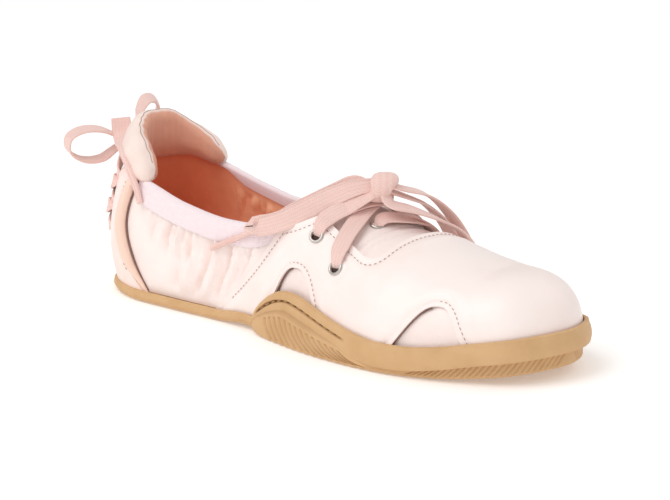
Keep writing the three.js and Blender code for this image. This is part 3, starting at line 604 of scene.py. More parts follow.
class Bench:
    """Where meshes are made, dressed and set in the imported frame."""

    snap_passes = 5
    snap_step = 0.05
    snap_limit = 0.7
    # Depths of the crease valleys over which painted shade grows in the cloth's colour.
    trough = (0.1, 1.7)

    def __init__(self, last: Last, closet: Closet, shift: Array) -> None:
        """Takes the last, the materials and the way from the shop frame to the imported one."""
        self.last = last
        self.closet = closet
        self.shift = shift

    def place(self, points: Array) -> Array:
        """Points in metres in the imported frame."""
        return (points + self.shift) * MM

    @staticmethod
    def pick(piece: Piece) -> None:
        """Selects one piece alone."""
        bpy.ops.object.select_all(action="DESELECT")
        piece.select_set(True)
        bpy.context.view_layer.objects.active = piece

    def edit(self, piece: Piece, *steps: Callable[[], object]) -> None:
        """Runs operators on a piece in edit mode."""
        self.pick(piece)
        bpy.ops.object.mode_set(mode="EDIT")
        for step in steps:
            step()
        bpy.ops.object.mode_set(mode="OBJECT")

    def grid(self, name: str, points: Array, uv: Array, kept: Array | None = None) -> Piece:
        """Adds a grid and moves its corners to their places.

        Args:
            name: the piece's name.
            points: places of the corners, by column and row.
            uv: surface coordinates of the corners.
            kept: which cells stay, by column and row.

        Returns:
            The new piece, with doubled corners merged.
        """
        across, up = points.shape[0] - 1, points.shape[1] - 1
        bpy.ops.object.select_all(action="DESELECT")
        bpy.ops.mesh.primitive_grid_add(x_subdivisions=across, y_subdivisions=up, size=1)
        piece = bpy.context.object
        piece.name = name
        mesh = piece.data
        mesh.name = name
        corners = np.empty(len(mesh.vertices) * 3)
        mesh.vertices.foreach_get("co", corners)
        corners = corners.reshape(-1, 3)
        i = np.rint((corners[:, 0] + 0.5) * across).astype(int)
        j = np.rint((corners[:, 1] + 0.5) * up).astype(int)
        mesh.vertices.foreach_set("co", self.place(points[i, j]).ravel())
        loops = np.empty(len(mesh.loops), int)
        mesh.loops.foreach_get("vertex_index", loops)
        mesh.uv_layers.active.data.foreach_set("uv", uv[i[loops], j[loops]].ravel())
        mesh.update()
        if kept is not None:
            cells = loops.reshape(-1, 4)
            dropped = ~kept[i[cells].min(axis=1), j[cells].min(axis=1)]
            mesh.vertices.foreach_set("select", np.zeros(len(mesh.vertices), bool))
            mesh.edges.foreach_set("select", np.zeros(len(mesh.edges), bool))
            mesh.polygons.foreach_set("select", dropped)
            bpy.context.tool_settings.mesh_select_mode = (False, False, True)
            self.edit(piece, partial(bpy.ops.mesh.delete, type="FACE"))
        self.edit(piece, SELECT_ALL, partial(bpy.ops.mesh.remove_doubles, threshold=MERGE))
        return piece

    def drape(
        self,
        name: str,
        turns: Array,
        shares: Array,
        edge: Callable[[Array], Array],
        relief: Callable[[Array, Array, Array], Array],
    ) -> Piece:
        """Lays a sheet on the last and trims it to an edge.

        Args:
            name: the piece's name.
            turns: turns of the sheet's columns.
            shares: shares of the way to the ridge of its rows.
            edge: distance of points inside the sheet's edge.
            relief: distance of the sheet from the last, from its points, their distance
                inside the edge and their turns.

        Returns:
            The sheet, with no thickness yet.
        """
        columns, rows = len(turns), len(shares)
        marks = np.arange(columns, dtype=float), np.arange(rows, dtype=float)
        u, v = np.meshgrid(*marks, indexing="ij")

        def lies(i: Array, j: Array) -> tuple[Array, Array]:
            """Turn and share at places on the grid."""
            return np.interp(i, marks[0], turns), np.interp(j, marks[1], shares)

        def distance(i: Array, j: Array) -> Array:
            """Distance inside the edge at places on the grid."""
            return edge(self.last.shell(*lies(i, j)).reshape(-1, 3)).reshape(i.shape)

        inside = distance(u, v)
        kept = (inside[:-1, :-1] + inside[1:, :-1] + inside[:-1, 1:] + inside[1:, 1:]) > 0
        near_kept = np.zeros((columns, rows), bool)
        near_cut = np.zeros((columns, rows), bool)
        for a, b in ((0, 0), (1, 0), (0, 1), (1, 1)):
            view = (slice(a, a + columns - 1), slice(b, b + rows - 1))
            near_kept[view] |= kept
            near_cut[view] |= ~kept
        rim = near_kept & near_cut
        for _ in range(self.snap_passes):
            i, j = u[rim], v[rim]
            here = distance(i, j)
            gain_i = (distance(i + self.snap_step, j) - here) / self.snap_step
            gain_j = (distance(i, j + self.snap_step) - here) / self.snap_step
            pull = here / np.maximum(gain_i**2 + gain_j**2, TINY)
            move = [np.clip(pull * g, -self.snap_limit, self.snap_limit) for g in (gain_i, gain_j)]
            u[rim] = np.clip(i - move[0], 0, columns - 1)
            v[rim] = np.clip(j - move[1], 0, rows - 1)
        turn, share = lies(u, v)
        flat = self.last.shell(turn, share).reshape(-1, 3)
        offset = relief(flat, edge(flat), turn.ravel()).reshape(u.shape)
        points = self.last.shell(turn, share, offset)
        uv = np.stack([turn * self.last.half_length, run_lengths(points)], axis=-1) / CM
        piece = self.grid(name, points, uv, kept)
        # Painted shade: crease valleys take the finish's second tint, more of it the deeper they are.
        self.mark(piece, self.place(points), ease(-offset, *self.trough))
        return piece

    def tube(self, name: str, rings: Array, uv: Array | None = None, capped: bool = True) -> Piece:
        """Closed body through rings of points.

        Args:
            name: the piece's name.
            rings: the points, by ring and place on the ring.
            uv: surface coordinates of the points.
            capped: whether the two ends are filled.

        Returns:
            The piece, facing outwards.
        """
        rings = np.concatenate([rings, rings[:, :1]], axis=1)
        if uv is None:
            around, along = run_lengths(rings), run_length(rings.mean(axis=1))
            uv = np.stack(np.broadcast_arrays(around, along[:, None]), axis=-1) / CM
        else:
            uv = np.concatenate([uv, uv[:, :1]], axis=1)
        piece = self.grid(name, rings, uv)
        closing = (partial(bpy.ops.mesh.fill_holes, sides=0), SELECT_ALL) if capped else ()
        self.edit(piece, SELECT_ALL, *closing, FACE_OUT)
        return piece

    def thicken(self, piece: Piece, wall: float, inner: int = 0, outward: bool = False) -> None:
        """Gives a sheet its thickness.

        Args:
            piece: the sheet.
            wall: its thickness.
            inner: material slot of the new face, counted from the first face's.
            outward: whether the new face lies in front of the sheet.
        """
        self.pick(piece)
        solid = piece.modifiers.new("wall", "SOLIDIFY")
        solid.thickness = wall * MM
        solid.offset = 1.0 if outward else -1.0
        solid.material_offset = inner
        bpy.ops.object.modifier_apply(modifier=solid.name)

    def join(self, pieces: Sequence[Piece], name: str) -> Piece:
        """Joins pieces into the first of them."""
        self.pick(pieces[0])
        for piece in pieces:
            piece.select_set(True)
        bpy.ops.object.join()
        pieces[0].name = name
        return pieces[0]

    @staticmethod
    def mark(piece: Piece, points: Array, shade: Array) -> None:
        """Writes a number on each corner of a mesh, for its finish.

        Args:
            piece: the mesh.
            points: places with a number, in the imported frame.
            shade: their numbers, which the nearest corners take.
        """
        tree = KDTree(shade.size)
        for k, point in enumerate(points.reshape(-1, 3)):
            tree.insert(point, k)
        tree.balance()
        values = shade.ravel()
        layer = piece.data.attributes.new(SHADE, "FLOAT", "POINT")
        layer.data.foreach_set("value", [values[tree.find(v.co)[1]] for v in piece.data.vertices])

    def paint(self, piece: Piece, *finishes: Finish) -> None:
        """Gives a piece its finishes, by slot of its mesh."""
        for finish in finishes:
            piece.data.materials.append(self.closet[finish])

    def dress(
        self,
        piece: Piece,
        finish: Finish,
        slot: Slot,
        nodes: Sequence[str] = (),
        angle: float = SMOOTH_ANGLE,
    ) -> Piece:
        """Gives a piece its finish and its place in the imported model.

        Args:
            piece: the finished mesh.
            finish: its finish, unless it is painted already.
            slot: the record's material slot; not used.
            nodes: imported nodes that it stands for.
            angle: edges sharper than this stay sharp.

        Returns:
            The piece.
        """
        if not piece.data.materials:
            self.paint(piece, finish)
        self.pick(piece)
        bpy.ops.object.shade_smooth_by_angle(angle=angle)
        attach(piece, BODY)
        if nodes:
            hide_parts(*nodes)
        LOG.info("%s: %d faces", piece.name, len(piece.data.polygons))
        return piece


Value = Union["Wire", float, int, tuple]


class Wire:
    """An output of a material's node that sums are written with."""

    def __init__(self, graph: Graph, socket: bpy.types.NodeSocket) -> None:
        """Takes the graph and the socket."""
        self.graph = graph
        self.socket = socket

    def out(self, name: str) -> Wire:
        """Another output of the same node."""
        return Wire(self.graph, self.socket.node.outputs[name])

    def math(self, operation: str, first: Value, second: Value = 0.0) -> Wire:
        """One Math node."""
        return self.graph.node("ShaderNodeMath", {"operation": operation}, {0: first, 1: second})

    def __add__(self, other: Value) -> Wire:
        """Sum."""
        return self.math("ADD", self, other)

    __radd__ = __add__

    def __mul__(self, other: Value) -> Wire:
        """Product."""
        return self.math("MULTIPLY", self, other)

    __rmul__ = __mul__

    def __sub__(self, other: Value) -> Wire:
        """Difference."""
        return self.math("SUBTRACT", self, other)

    def __rsub__(self, other: Value) -> Wire:
        """Difference from a number."""
        return self.math("SUBTRACT", other, self)

    def wave(self, pitch: float) -> Wire:
        """Sine of this length, 0 to 1, that repeats every pitch."""
        return self.math("SINE", self * (FULL_TURN / pitch)) * 0.5 + 0.5

    def fold(self, half: float) -> Wire:
        """This length, folded back and forth every half."""
        return self.math("PINGPONG", self, half)


SCREEN_FULL = 255.0
SCREEN_KNEE = 0.04045
SCREEN_SLOPE = 12.92
SCREEN_OFFSET = 0.055
SCREEN_POWER = 2.4


def light(share: float) -> float:
    """A share of a screen's full level as light."""
    if share <= SCREEN_KNEE:
        return share / SCREEN_SLOPE
    return ((share + SCREEN_OFFSET) / (1.0 + SCREEN_OFFSET)) ** SCREEN_POWER


def linear(tint: Tint) -> tuple[float, float, float, float]:
    """A screen colour as the light that shaders count in."""
    red, green, blue = (light(value / SCREEN_FULL) for value in tint)
    return red, green, blue, 1.0


class Graph:
    """Node tree of one material."""

    color_mix = {"factor": 0, "first": 6, "second": 7, "result": 2}

    def __init__(self, name: str) -> None:
        """Starts a material."""
        self.material = bpy.data.materials.new(name)
        self.material.use_nodes = True
        self.tree = self.material.node_tree
        self.shader = self.tree.nodes["Principled BSDF"]

    def node(
        self,
        kind: str,
        settings: dict[str, object],
        inputs: dict[object, Value],
        output: object = 0,
    ) -> Wire:
        """Adds a node.

        Args:
            kind: its type.
            settings: its own settings, set first.
            inputs: values or wires of its sockets.
            output: the output that is handed on.

        Returns:
            That output.
        """
        made = self.tree.nodes.new(kind)
        for key, value in settings.items():
            setattr(made, key, value)
        for key, value in inputs.items():
            self.feed(made.inputs[key], value)
        return Wire(self, made.outputs[output])

    def feed(self, socket: bpy.types.NodeSocket, value: Value) -> None:
        """Links a wire to a socket, or sets its number."""
        if isinstance(value, Wire):
            self.tree.links.new(value.socket, socket)
        else:
            socket.default_value = value

    def place(self) -> Wire:
        """Object coordinates."""
        return self.node("ShaderNodeTexCoord", {}, {}, "Object")

    def surface(self) -> tuple[Wire, Wire]:
        """The piece's own coordinates along its surface, in millimetres."""
        uv = self.node("ShaderNodeTexCoord", {}, {}, "UV")
        split = self.node("ShaderNodeSeparateXYZ", {}, {"Vector": uv}, "X")
        return split * CM, split.out("Y") * CM

    def noise(self, size: float, detail: float) -> Wire:
        """Soft noise with patches of a size in millimetres."""
        inputs = {"Vector": self.place(), "Scale": 1.0 / (size * MM), "Detail": detail}
        return self.node("ShaderNodeTexNoise", {}, inputs, 0)

    def mix(self, factor: Value, first: Value, second: Value) -> Wire:
        """Mix of two colours."""
        keys = self.color_mix
        inputs = {keys["factor"]: factor, keys["first"]: first, keys["second"]: second}
        return self.node("ShaderNodeMix", {"data_type": "RGBA"}, inputs, keys["result"])

    def attribute(self, name: str) -> Wire:
        """A number that the mesh carries."""
        return self.node("ShaderNodeAttribute", {"attribute_name": name}, {}, "Fac")

    def ramp(self, value: Value, low: float, high: float) -> Wire:
        """Soft step from 0 to 1 between two values."""
        settings = {"interpolation_type": "SMOOTHSTEP"}
        inputs = {"Value": value, "From Min": low, "From Max": high}
        return self.node("ShaderNodeMapRange", settings, inputs)

    def dress(
        self,
        color: Value,
        roughness: Value,
        height: Wire | None,
        depth: float = 1.0,
        **steady: float,
    ) -> Material:
        """Feeds the shader.

        Args:
            color: base colour.
            roughness: roughness.
            height: relief, 0 to 1.
            depth: what a height of 1 stands for, in millimetres.
            steady: values that are the same all over, by socket name.

        Returns:
            The finished material.
        """
        self.feed(self.shader.inputs["Base Color"], color)
        self.feed(self.shader.inputs["Roughness"], roughness)
        if height is not None:
            inputs = {"Strength": 1.0, "Distance": depth * MM, "Height": height}
            self.feed(self.shader.inputs["Normal"], self.node("ShaderNodeBump", {}, inputs))
        for name, value in steady.items():
            self.shader.inputs[name.replace("_", " ").title()].default_value = value
        return self.material


def summed(wires: Sequence[Wire], shares: Sequence[float]) -> Wire:
    """Sum of wires, each by its share."""
    total = wires[0] * shares[0]
    for wire, share in zip(wires[1:], shares[1:]):
        total = total + wire * share
    return total


@dataclass(frozen=True)
class ClothFinish:
    """Woven cloth: two tints that drift, threads, a soft crumple, a second tint by the mesh's shade
    number for painted shade in creases and real peach inner faces, and painted light along X.
    """

    name: str
    tint: Tint
    shade: Tint
    roughness: float = 0.5
    thread: float = 0.5
    relief: float = 0.05
    crumple: float = 5.0
    crumple_relief: float = 0.5
    sheen: float = 0.2
    # Second tint by the mesh's shade number: painted shade on the nylon, real peach on pad and counter.
    inner: Tint | None = None
    # Painted light: a lighter tint that the lining takes towards the front, where light falls in, over a
    # span of X in millimetres.
    glow: Tint | None = None
    painted_light_reach: tuple = (-110.0, -64.0)
    drift: tuple = (28.0, 3.0)
    drift_range: tuple = (0.35, 0.7)
    drift_roughness: float = 0.12
    fleck: tuple = (0.5, 1.0)
    tones: tuple = (0.8, 0.2)
    crumple_detail: float = 2.5
    sheen_roughness: float = 0.4

    def build(self) -> Material:
        """Makes the material."""
        graph = Graph(self.name)
        u, v = graph.surface()
        drift = graph.ramp(graph.noise(*self.drift), *self.drift_range)
        fleck = graph.noise(*self.fleck)
        color = graph.mix(summed((drift, fleck), self.tones), linear(self.tint), linear(self.shade))
        # Second tint by the mesh's shade number: painted shade in the nylon's crease valleys, and the
        # real peach of the pad's inside and the counter's roll.
        if self.inner:
            color = graph.mix(graph.attribute(SHADE), color, linear(self.inner))
        # Painted light: the lining grows lighter towards the front, where light falls in through the
        # opening.
        if self.glow:
            along = graph.node("ShaderNodeSeparateXYZ", {}, {"Vector": graph.place()}, "X")
            lit = graph.ramp(along, *(x * MM for x in self.painted_light_reach))
            color = graph.mix(lit, color, linear(self.glow))
        weave = u.wave(self.thread) * v.wave(self.thread)
        soft = graph.noise(self.crumple, self.crumple_detail)
        reliefs = (self.relief, self.crumple_relief, self.relief)
        height = summed((weave, soft, fleck), reliefs)
        rough = self.roughness + (drift - 0.5) * self.drift_roughness
        steady = {"sheen_weight": self.sheen, "sheen_roughness": self.sheen_roughness}
        return graph.dress(color, rough, height, **steady)


@dataclass(frozen=True)
class LaceFinish:
    """Flat cotton lace in a herringbone weave."""

    name: str
    tint: Tint
    shade: Tint
    chevron: float = 1.25
    margin: float = 12.5
    pitch: float = 1.05
    streak: float = 1.5
    fuzz: tuple = (0.35, 2.0)
    drift: tuple = (9.0, 2.0)
    tones: tuple = (0.35, 0.25, 0.15, 0.25)
    reliefs: tuple = (0.12, 0.05, 0.06)
    roughness: tuple = (0.82, 0.1)
    sheen: float = 0.35
    sheen_roughness: float = 0.5

    def build(self) -> Material:
        """Makes the material."""
        graph = Graph(self.name)
        u, v = graph.surface()
        weave = (v + (u + self.margin).fold(self.chevron)).wave(self.pitch)
        fuzz = graph.noise(*self.fuzz)
        drift = graph.noise(*self.drift)
        streak = u.wave(self.streak)
        tone = summed((weave, streak, fuzz, drift), self.tones)
        color = graph.mix(tone, linear(self.shade), linear(self.tint))
        height = summed((weave, streak, fuzz), self.reliefs)
        base, spread = self.roughness
        steady = {"sheen_weight": self.sheen, "sheen_roughness": self.sheen_roughness}
        return graph.dress(color, base + fuzz * spread, height, **steady)


@dataclass(frozen=True)
class ElasticFinish:
    """Soft elastic tape with fine ribs along it."""

    name: str
    tint: Tint
    shade: Tint
    rib: float = 1.05
    tick: float = 0.9
    pull: tuple = (2.4, 2.0)
    tones: tuple = (0.15, 0.85)
    reliefs: tuple = (0.05, 0.12, 0.03)
    roughness: tuple = (0.6, 0.15)
    sheen: float = 0.3
    sheen_roughness: float = 0.4

    def build(self) -> Material:
        """Makes the material."""
        graph = Graph(self.name)
        u, v = graph.surface()
        ribs = u.wave(self.rib)
        pull = graph.noise(*self.pull)
        color = graph.mix(summed((ribs, pull), self.tones), linear(self.shade), linear(self.tint))
        height = summed((ribs, pull, ribs * v.wave(self.tick)), self.reliefs)
        base, spread = self.roughness
        steady = {"sheen_weight": self.sheen, "sheen_roughness": self.sheen_roughness}
        return graph.dress(color, base + pull * spread, height, **steady)


@dataclass(frozen=True)
class RubberFinish:
    """Gum rubber: mottled, satin, with painted shade in the channel, the grooves and under the tread's
    ledge.
    """

    name: str
    tint: Tint
    shade: Tint
    # Colour of the painted shade.
    deep: Tint
    mottle: tuple = (11.0, 4.0)
    mottle_range: tuple = (0.3, 0.75)
    grain: tuple = (0.8, 3.0)
    tones: tuple = (0.7, 0.3)
    reliefs: tuple = (0.05, 0.03)
    roughness: tuple = (0.5, 0.14)

    def build(self) -> Material:
        """Makes the material."""
        graph = Graph(self.name)
        mottle = graph.ramp(graph.noise(*self.mottle), *self.mottle_range)
        grain = graph.noise(*self.grain)
        tone = summed((mottle, grain), self.tones)
        body = graph.mix(tone, linear(self.tint), linear(self.shade))
        # Painted shade, by the mesh's shade number.
        color = graph.mix(graph.attribute(SHADE), body, linear(self.deep))
        base, spread = self.roughness
        return graph.dress(color, base + grain * spread, summed((grain, mottle), self.reliefs))


@dataclass(frozen=True)
class MetalFinish:
    """Satin nickel with faint scuffs."""

    name: str
    tint: Tint
    shade: Tint
    scuff: tuple = (0.6, 4.0)
    roughness: tuple = (0.2, 0.18)
    depth: float = 0.02

    def build(self) -> Material:
        """Makes the material."""
        graph = Graph(self.name)
        scuff = graph.noise(*self.scuff)
        color = graph.mix(scuff, linear(self.shade), linear(self.tint))
        base, spread = self.roughness
        return graph.dress(color, base + scuff * spread, scuff, self.depth, metallic=1.0)


@dataclass(frozen=True)
class ThreadAndShadeFinish:
    """Twisted sewing thread; the same grain serves the lace tips and the dark tubes and bodies of
    painted shade.
    """

    name: str
    tint: Tint
    shade: Tint
    twist: tuple = (0.3, 2.0)
    roughness: float = 0.7
    depth: float = 0.08
    sheen: float = 0.2

    def build(self) -> Material:
        """Makes the material."""
        graph = Graph(self.name)
        twist = graph.noise(*self.twist)
        color = graph.mix(twist, linear(self.shade), linear(self.tint))
        return graph.dress(color, self.roughness, twist, self.depth, sheen_weight=self.sheen)


@dataclass(frozen=True)
class FloorFinish:
    """Plain pale floor with a faint glow of its own."""

    name: str
    tint: Tint
    shade: Tint
    cloud: tuple = (220.0, 2.0)
    roughness: tuple = (0.8, 0.1)
    glow: float = 0.22

    def build(self) -> Material:
        """Makes the material."""
        graph = Graph(self.name)
        cloud = graph.noise(*self.cloud)
        color = graph.mix(cloud, linear(self.tint), linear(self.shade))
        base, spread = self.roughness
        return graph.dress(color, base + cloud * spread, None, emission_strength=self.glow)


class Finish(Enum):
    """Every finish in the scene."""

    # Its inner tint is painted shade in the crease valleys.
    NYLON = ClothFinish(
        "pale_nylon", (252, 240, 235), (249, 231, 225),
        roughness=0.4, thread=0.45, relief=0.03, inner=(245, 223, 215),
    )
    OVERLAY = ClothFinish(
        "satin_overlay", (254, 241, 236), (251, 234, 228),
        roughness=0.38, relief=0.03, crumple=12.0, crumple_relief=0.16,
    )
    # Its glow is painted light, lighter towards the front.
    LINING = ClothFinish(
        "terracotta_lining", (238, 144, 104), (217, 116, 78),
        roughness=0.7, crumple=6.0, sheen=0.15, glow=(255, 194, 154),
    )
    FOOTBED = ClothFinish(
        "peach_footbed", (232, 134, 98), (216, 112, 78),
        roughness=0.75, thread=0.6, relief=0.06, crumple=8.0, crumple_relief=0.3, sheen=0.15,
    )
    TONGUE = ClothFinish(
        "lilac_tongue", (253, 239, 234), (248, 229, 224),
        relief=0.04, crumple=9.0, crumple_relief=0.25,
    )
    PAD = ClothFinish(
        "heel_padding", (249, 231, 222), (243, 218, 207),
        roughness=0.55, crumple_relief=0.4, sheen=0.3, inner=(222, 160, 134),
    )
    COUNTER = ClothFinish(
        "padded_counter", (252, 235, 228), (247, 222, 211), inner=(247, 214, 196),
        roughness=0.4, thread=0.45, relief=0.03, crumple=9.0, crumple_relief=0.25,
    )
    ELASTIC = ElasticFinish("pale_elastic", (248, 234, 236), (241, 222, 226))
    LACE = LaceFinish("cotton_lace", (249, 219, 210), (234, 191, 181))
    THREAD = ThreadAndShadeFinish("fine_thread", (194, 160, 150), (162, 129, 121))
    # Painted shadow: dark lines behind the overlay's arches and in the counters' front gaps.
    EDGE = ThreadAndShadeFinish("cut_edge", (150, 110, 100), (120, 82, 74))
    # Painted shade: dark bodies inside eyelets and slits.
    HOLE = ThreadAndShadeFinish("dark_slit", (70, 42, 36), (48, 28, 24))
    SOLE_THREAD = ThreadAndShadeFinish("sole_thread", (196, 148, 88), (150, 102, 50))
    # Its third tint is painted shade in the channel, the rib grooves and under the ledge.
    GUM = RubberFinish("gum_rubber", (214, 174, 126), (203, 161, 112), (110, 66, 24))
    METAL = MetalFinish("satin_nickel", (222, 218, 212), (168, 162, 156))
    TIP = ThreadAndShadeFinish("taped_tip", (244, 208, 198), (226, 180, 169))
    FLOOR = FloorFinish("pale_floor", (250, 249, 248), (247, 246, 245))


class Closet:
    """Materials, each made once."""

    def __init__(self) -> None:
        """Starts empty."""
        self.made: dict[Finish, Material] = {}

    def __getitem__(self, finish: Finish) -> Material:
        """The material of a finish."""
        if finish not in self.made:
            self.made[finish] = finish.value.build()
        return self.made[finish]


@dataclass
class Studio:
    """Camera, soft light and floor."""

    azimuth: float = 42.0
    elevation: float = 15.0
    distance: float = 1.6
    lens: float = 200.0
    aim: tuple = (0.0, 0.0, 0.034)
    floor_size: float = 8.0
    lamps: tuple = (
        ("key", (-0.2, -0.8, 1.2), 1.0, 8.0),
        ("fill", (0.5, -1.0, 0.6), 1.2, 1.1),
        ("back", (0.3, 1.1, 0.9), 1.2, 3.0),
    )
    sky: float = 0.62
    sky_tint: tuple = (1.0, 0.99, 0.985, 1.0)

    def build(self, closet: Closet) -> None:
        """Sets the studio up."""
        turn, lift = math.radians(self.azimuth), math.radians(self.elevation)
        away = self.distance * math.cos(lift)
        back = (math.sin(turn) * away, -math.cos(turn) * away, self.distance * math.sin(lift))
        camera = bpy.data.cameras.new("camera")
        camera.lens = self.lens
        bpy.context.scene.camera = self.hang("camera", camera, Vector(self.aim) + Vector(back))
        for name, place, size, power in self.lamps:
            lamp = bpy.data.lights.new(name, "AREA")
            lamp.size = size
            lamp.energy = power
            self.hang(name, lamp, Vector(place))
        world = bpy.data.worlds.new("studio")
        bpy.context.scene.world = world
        world.use_nodes = True
        light = world.node_tree.nodes["Background"]
        light.inputs["Color"].default_value = self.sky_tint
        light.inputs["Strength"].default_value = self.sky
        bpy.context.scene.view_settings.view_transform = "Standard"
        bpy.ops.object.select_all(action="DESELECT")
        bpy.ops.mesh.primitive_plane_add(size=self.floor_size)
        floor = bpy.context.object
        floor.name = "floor"
        floor.data.materials.append(closet[Finish.FLOOR])

    def hang(self, name: str, data: bpy.types.ID, place: Vector) -> Piece:
        """Adds a camera or a lamp that faces the shoe."""
        item = bpy.data.objects.new(name, data)
        bpy.context.collection.objects.link(item)
        item.location = place
        item.rotation_mode = "QUATERNION"
        item.rotation_quaternion = (Vector(self.aim) - place).to_track_quat("-Z", "Y")
        return item


class Stop(NamedTuple):
    """A point of a lace's run and the way its width lies there."""

    at: Array
    across: Array


def lying(spots: Sequence[Spot]) -> list[Stop]:
    """Run of a lace that lies flat on what is under it."""
    ats = [s.at for s in spots]
    ways = [ats[min(i + 1, len(ats) - 1)] - ats[max(i - 1, 0)] for i in range(len(ats))]
    return [Stop(s.at, unit(np.cross(way, s.normal))) for s, way in zip(spots, ways)]


def folded(spots: Sequence[Spot]) -> list[Stop]:
    """Run of a lace that goes out and folds back over itself."""
    ats = [s.at for s in spots]
    half = len(ats) / 2
    ways = [(ats[i + 1] if i < half else ats[i - 1]) - ats[i] for i in range(len(ats))]
    return [Stop(s.at, unit(np.cross(way, s.normal))) for s, way in zip(spots, ways)]


def standing(points: Sequence[tuple], across: tuple) -> list[Stop]:
    """Run of a lace that stands as an open loop."""
    return [Stop(np.array(p, float), unit(np.array(across, float))) for p in points]


@dataclass
class Ribbon:
    """Flat woven lace, swept along its run."""

    bench: Bench
    width: float = 7.6
    thickness: float = 1.25
    sides: int = 16
    steps: int = 9
    corners: tuple = (0.45, 0.6)
    cup: float = 0.35
    cup_rest: float = 0.5
    tip_reach: float = 17.0
    tip_radius: float = 1.3
    tip_sides: int = 12
    tip_profile: tuple = (0.9, 1.0, 1.0, 1.0, 1.0, 0.97, 0.97, 0.97, 0.97, 0.95, 0.9, 0.55)
    knot_rings: int = 56
    knot_sides: int = 24
    knot_corners: tuple = (0.7, 0.75)
    knot_core: float = 0.56
    knot_fat: float = 0.44
    knot_pinch: float = 0.3
    knot_pinch_turn: float = 0.5
    knot_lean: float = 0.22

    def sweep(self, name: str, stops: Sequence[Stop], width: Track, bulk: Track) -> tuple[Piece, Array]:
        """Makes the lace's mesh.

        Args:
            name: the piece's name.
            stops: its run.
            width: share of the full width along the run.
            bulk: share of the full thickness along the run.

        Returns:
            The piece and the centres of its rings.
        """
        path = smooth_path([s.at for s in stops], self.steps)
        place = np.linspace(0.0, len(stops) - 1.0, len(path))
        hint = sample(np.array([s.across for s in stops]), np.arange(len(stops)), place)
        forward = unit(np.gradient(path, axis=0))
        face = unit(np.cross(hint, forward))
        across = unit(np.cross(forward, face))
        length = run_length(path)
        share = length / length[-1]
        wider, fatter = width(share)[:, None], bulk(share)[:, None]
        angle = circle(self.sides)[None]
        flat, round_ = squared(np.cos(angle), self.corners[0]), squared(np.sin(angle), self.corners[1])
        wide = self.width / 2.0 * wider * flat
        high = self.thickness / 2.0 * fatter * round_ + self.cup * (flat**2 - self.cup_rest) * wider**2
        rings = path[:, None] + across[:, None] * wide[..., None] + face[:, None] * high[..., None]
        uv = np.stack(np.broadcast_arrays(wide, length[:, None]), axis=-1) / CM
        return self.bench.tube(name, rings, uv), path

    def tip(self, name: str, path: Array) -> Piece:
        """Taped tip round the last of a lace's run."""
        length = run_length(path)
        size = self.tip_radius * np.array(self.tip_profile)
        line = sample(path, length, np.linspace(length[-1] - self.tip_reach, length[-1], len(size)))
        forward = unit(np.gradient(line, axis=0))
        side = unit(np.cross(forward, UP))
        up = np.cross(side, forward)
        angle = circle(self.tip_sides)[None, :, None]
        ring = side[:, None] * np.cos(angle) + up[:, None] * np.sin(angle)
        piece = self.bench.tube(name, line[:, None] + ring * size[:, None, None])
        return self.bench.dress(piece, Finish.TIP, Slot.LACE)

    def knot(self, name: str, centre: Array, axis: tuple, sizes: tuple) -> Piece:
        """Knot: one wrap of the lace round the bow.

        Args:
            name: the node that it stands for.
            centre: its middle.
            axis: the way that the loops leave it.
            sizes: half its size along the axis, forwards and upwards.

        Returns:
            The piece.
        """
        along_way = unit(np.array(axis))
        ahead = unit(np.cross(along_way, UP))
        up = np.cross(ahead, along_way)
        long, deep, tall = sizes
        theta = np.linspace(0.0, FULL_TURN, self.knot_rings)[:, None]
        phi = circle(self.knot_sides)[None]
        radial = self.knot_core + self.knot_fat * squared(np.cos(phi), self.knot_corners[0])
        pinch = 1.0 - self.knot_pinch * np.cos(theta + self.knot_pinch_turn) ** 2
        along = squared(np.sin(phi), self.knot_corners[1]) * pinch * long
        along = along + self.knot_lean * long * np.sin(theta)
        rings = (
            along_way * along[..., None]
            + ahead * (deep * radial * np.cos(theta))[..., None]
            + up * (tall * radial * np.sin(theta))[..., None]
        )
        width = along / np.ptp(along) * self.width
        turn = theta * (deep + tall) / 2.0
        uv = np.stack(np.broadcast_arrays(width, turn), axis=-1) / CM
        piece = self.bench.tube(f"{name}_tied", centre + rings, uv, capped=False)
        return self.bench.dress(piece, Finish.LACE, Slot.LACE, [name], ROUND_ANGLE)


LOOP_WIDTH = Track(((0.0, 0.6), (0.1, 0.9), (0.22, 1.08), (0.78, 1.08), (0.9, 0.9), (1.0, 0.6)))
END_WIDTH = Track(((0.0, 0.6), (0.16, 1.0), (0.44, 1.0), (0.62, 0.5), (0.72, 0.32), (1.0, 0.28)))
HEEL_END_WIDTH = Track(((0.0, 1.3), (0.1, 1.36), (0.25, 1.15), (0.45, 0.62), (0.8, 0.5), (1.0, 0.36)))
END_BULK = Track(((0.0, 1.0), (0.5, 1.0), (0.8, 1.7), (1.0, 1.8)))
EVEN = Track(((0.0, 1.0), (1.0, 1.0)))
EYELET_WIDTH = Track(((0.0, 0.6), (0.05, 0.72), (0.14, 1.08), (0.86, 1.08), (0.95, 0.72), (1.0, 0.6)))
KNOT_WIDTH = Track(((0.0, 0.7), (0.1, 0.84), (0.3, 1.0), (0.75, 0.9), (1.0, 0.55)))


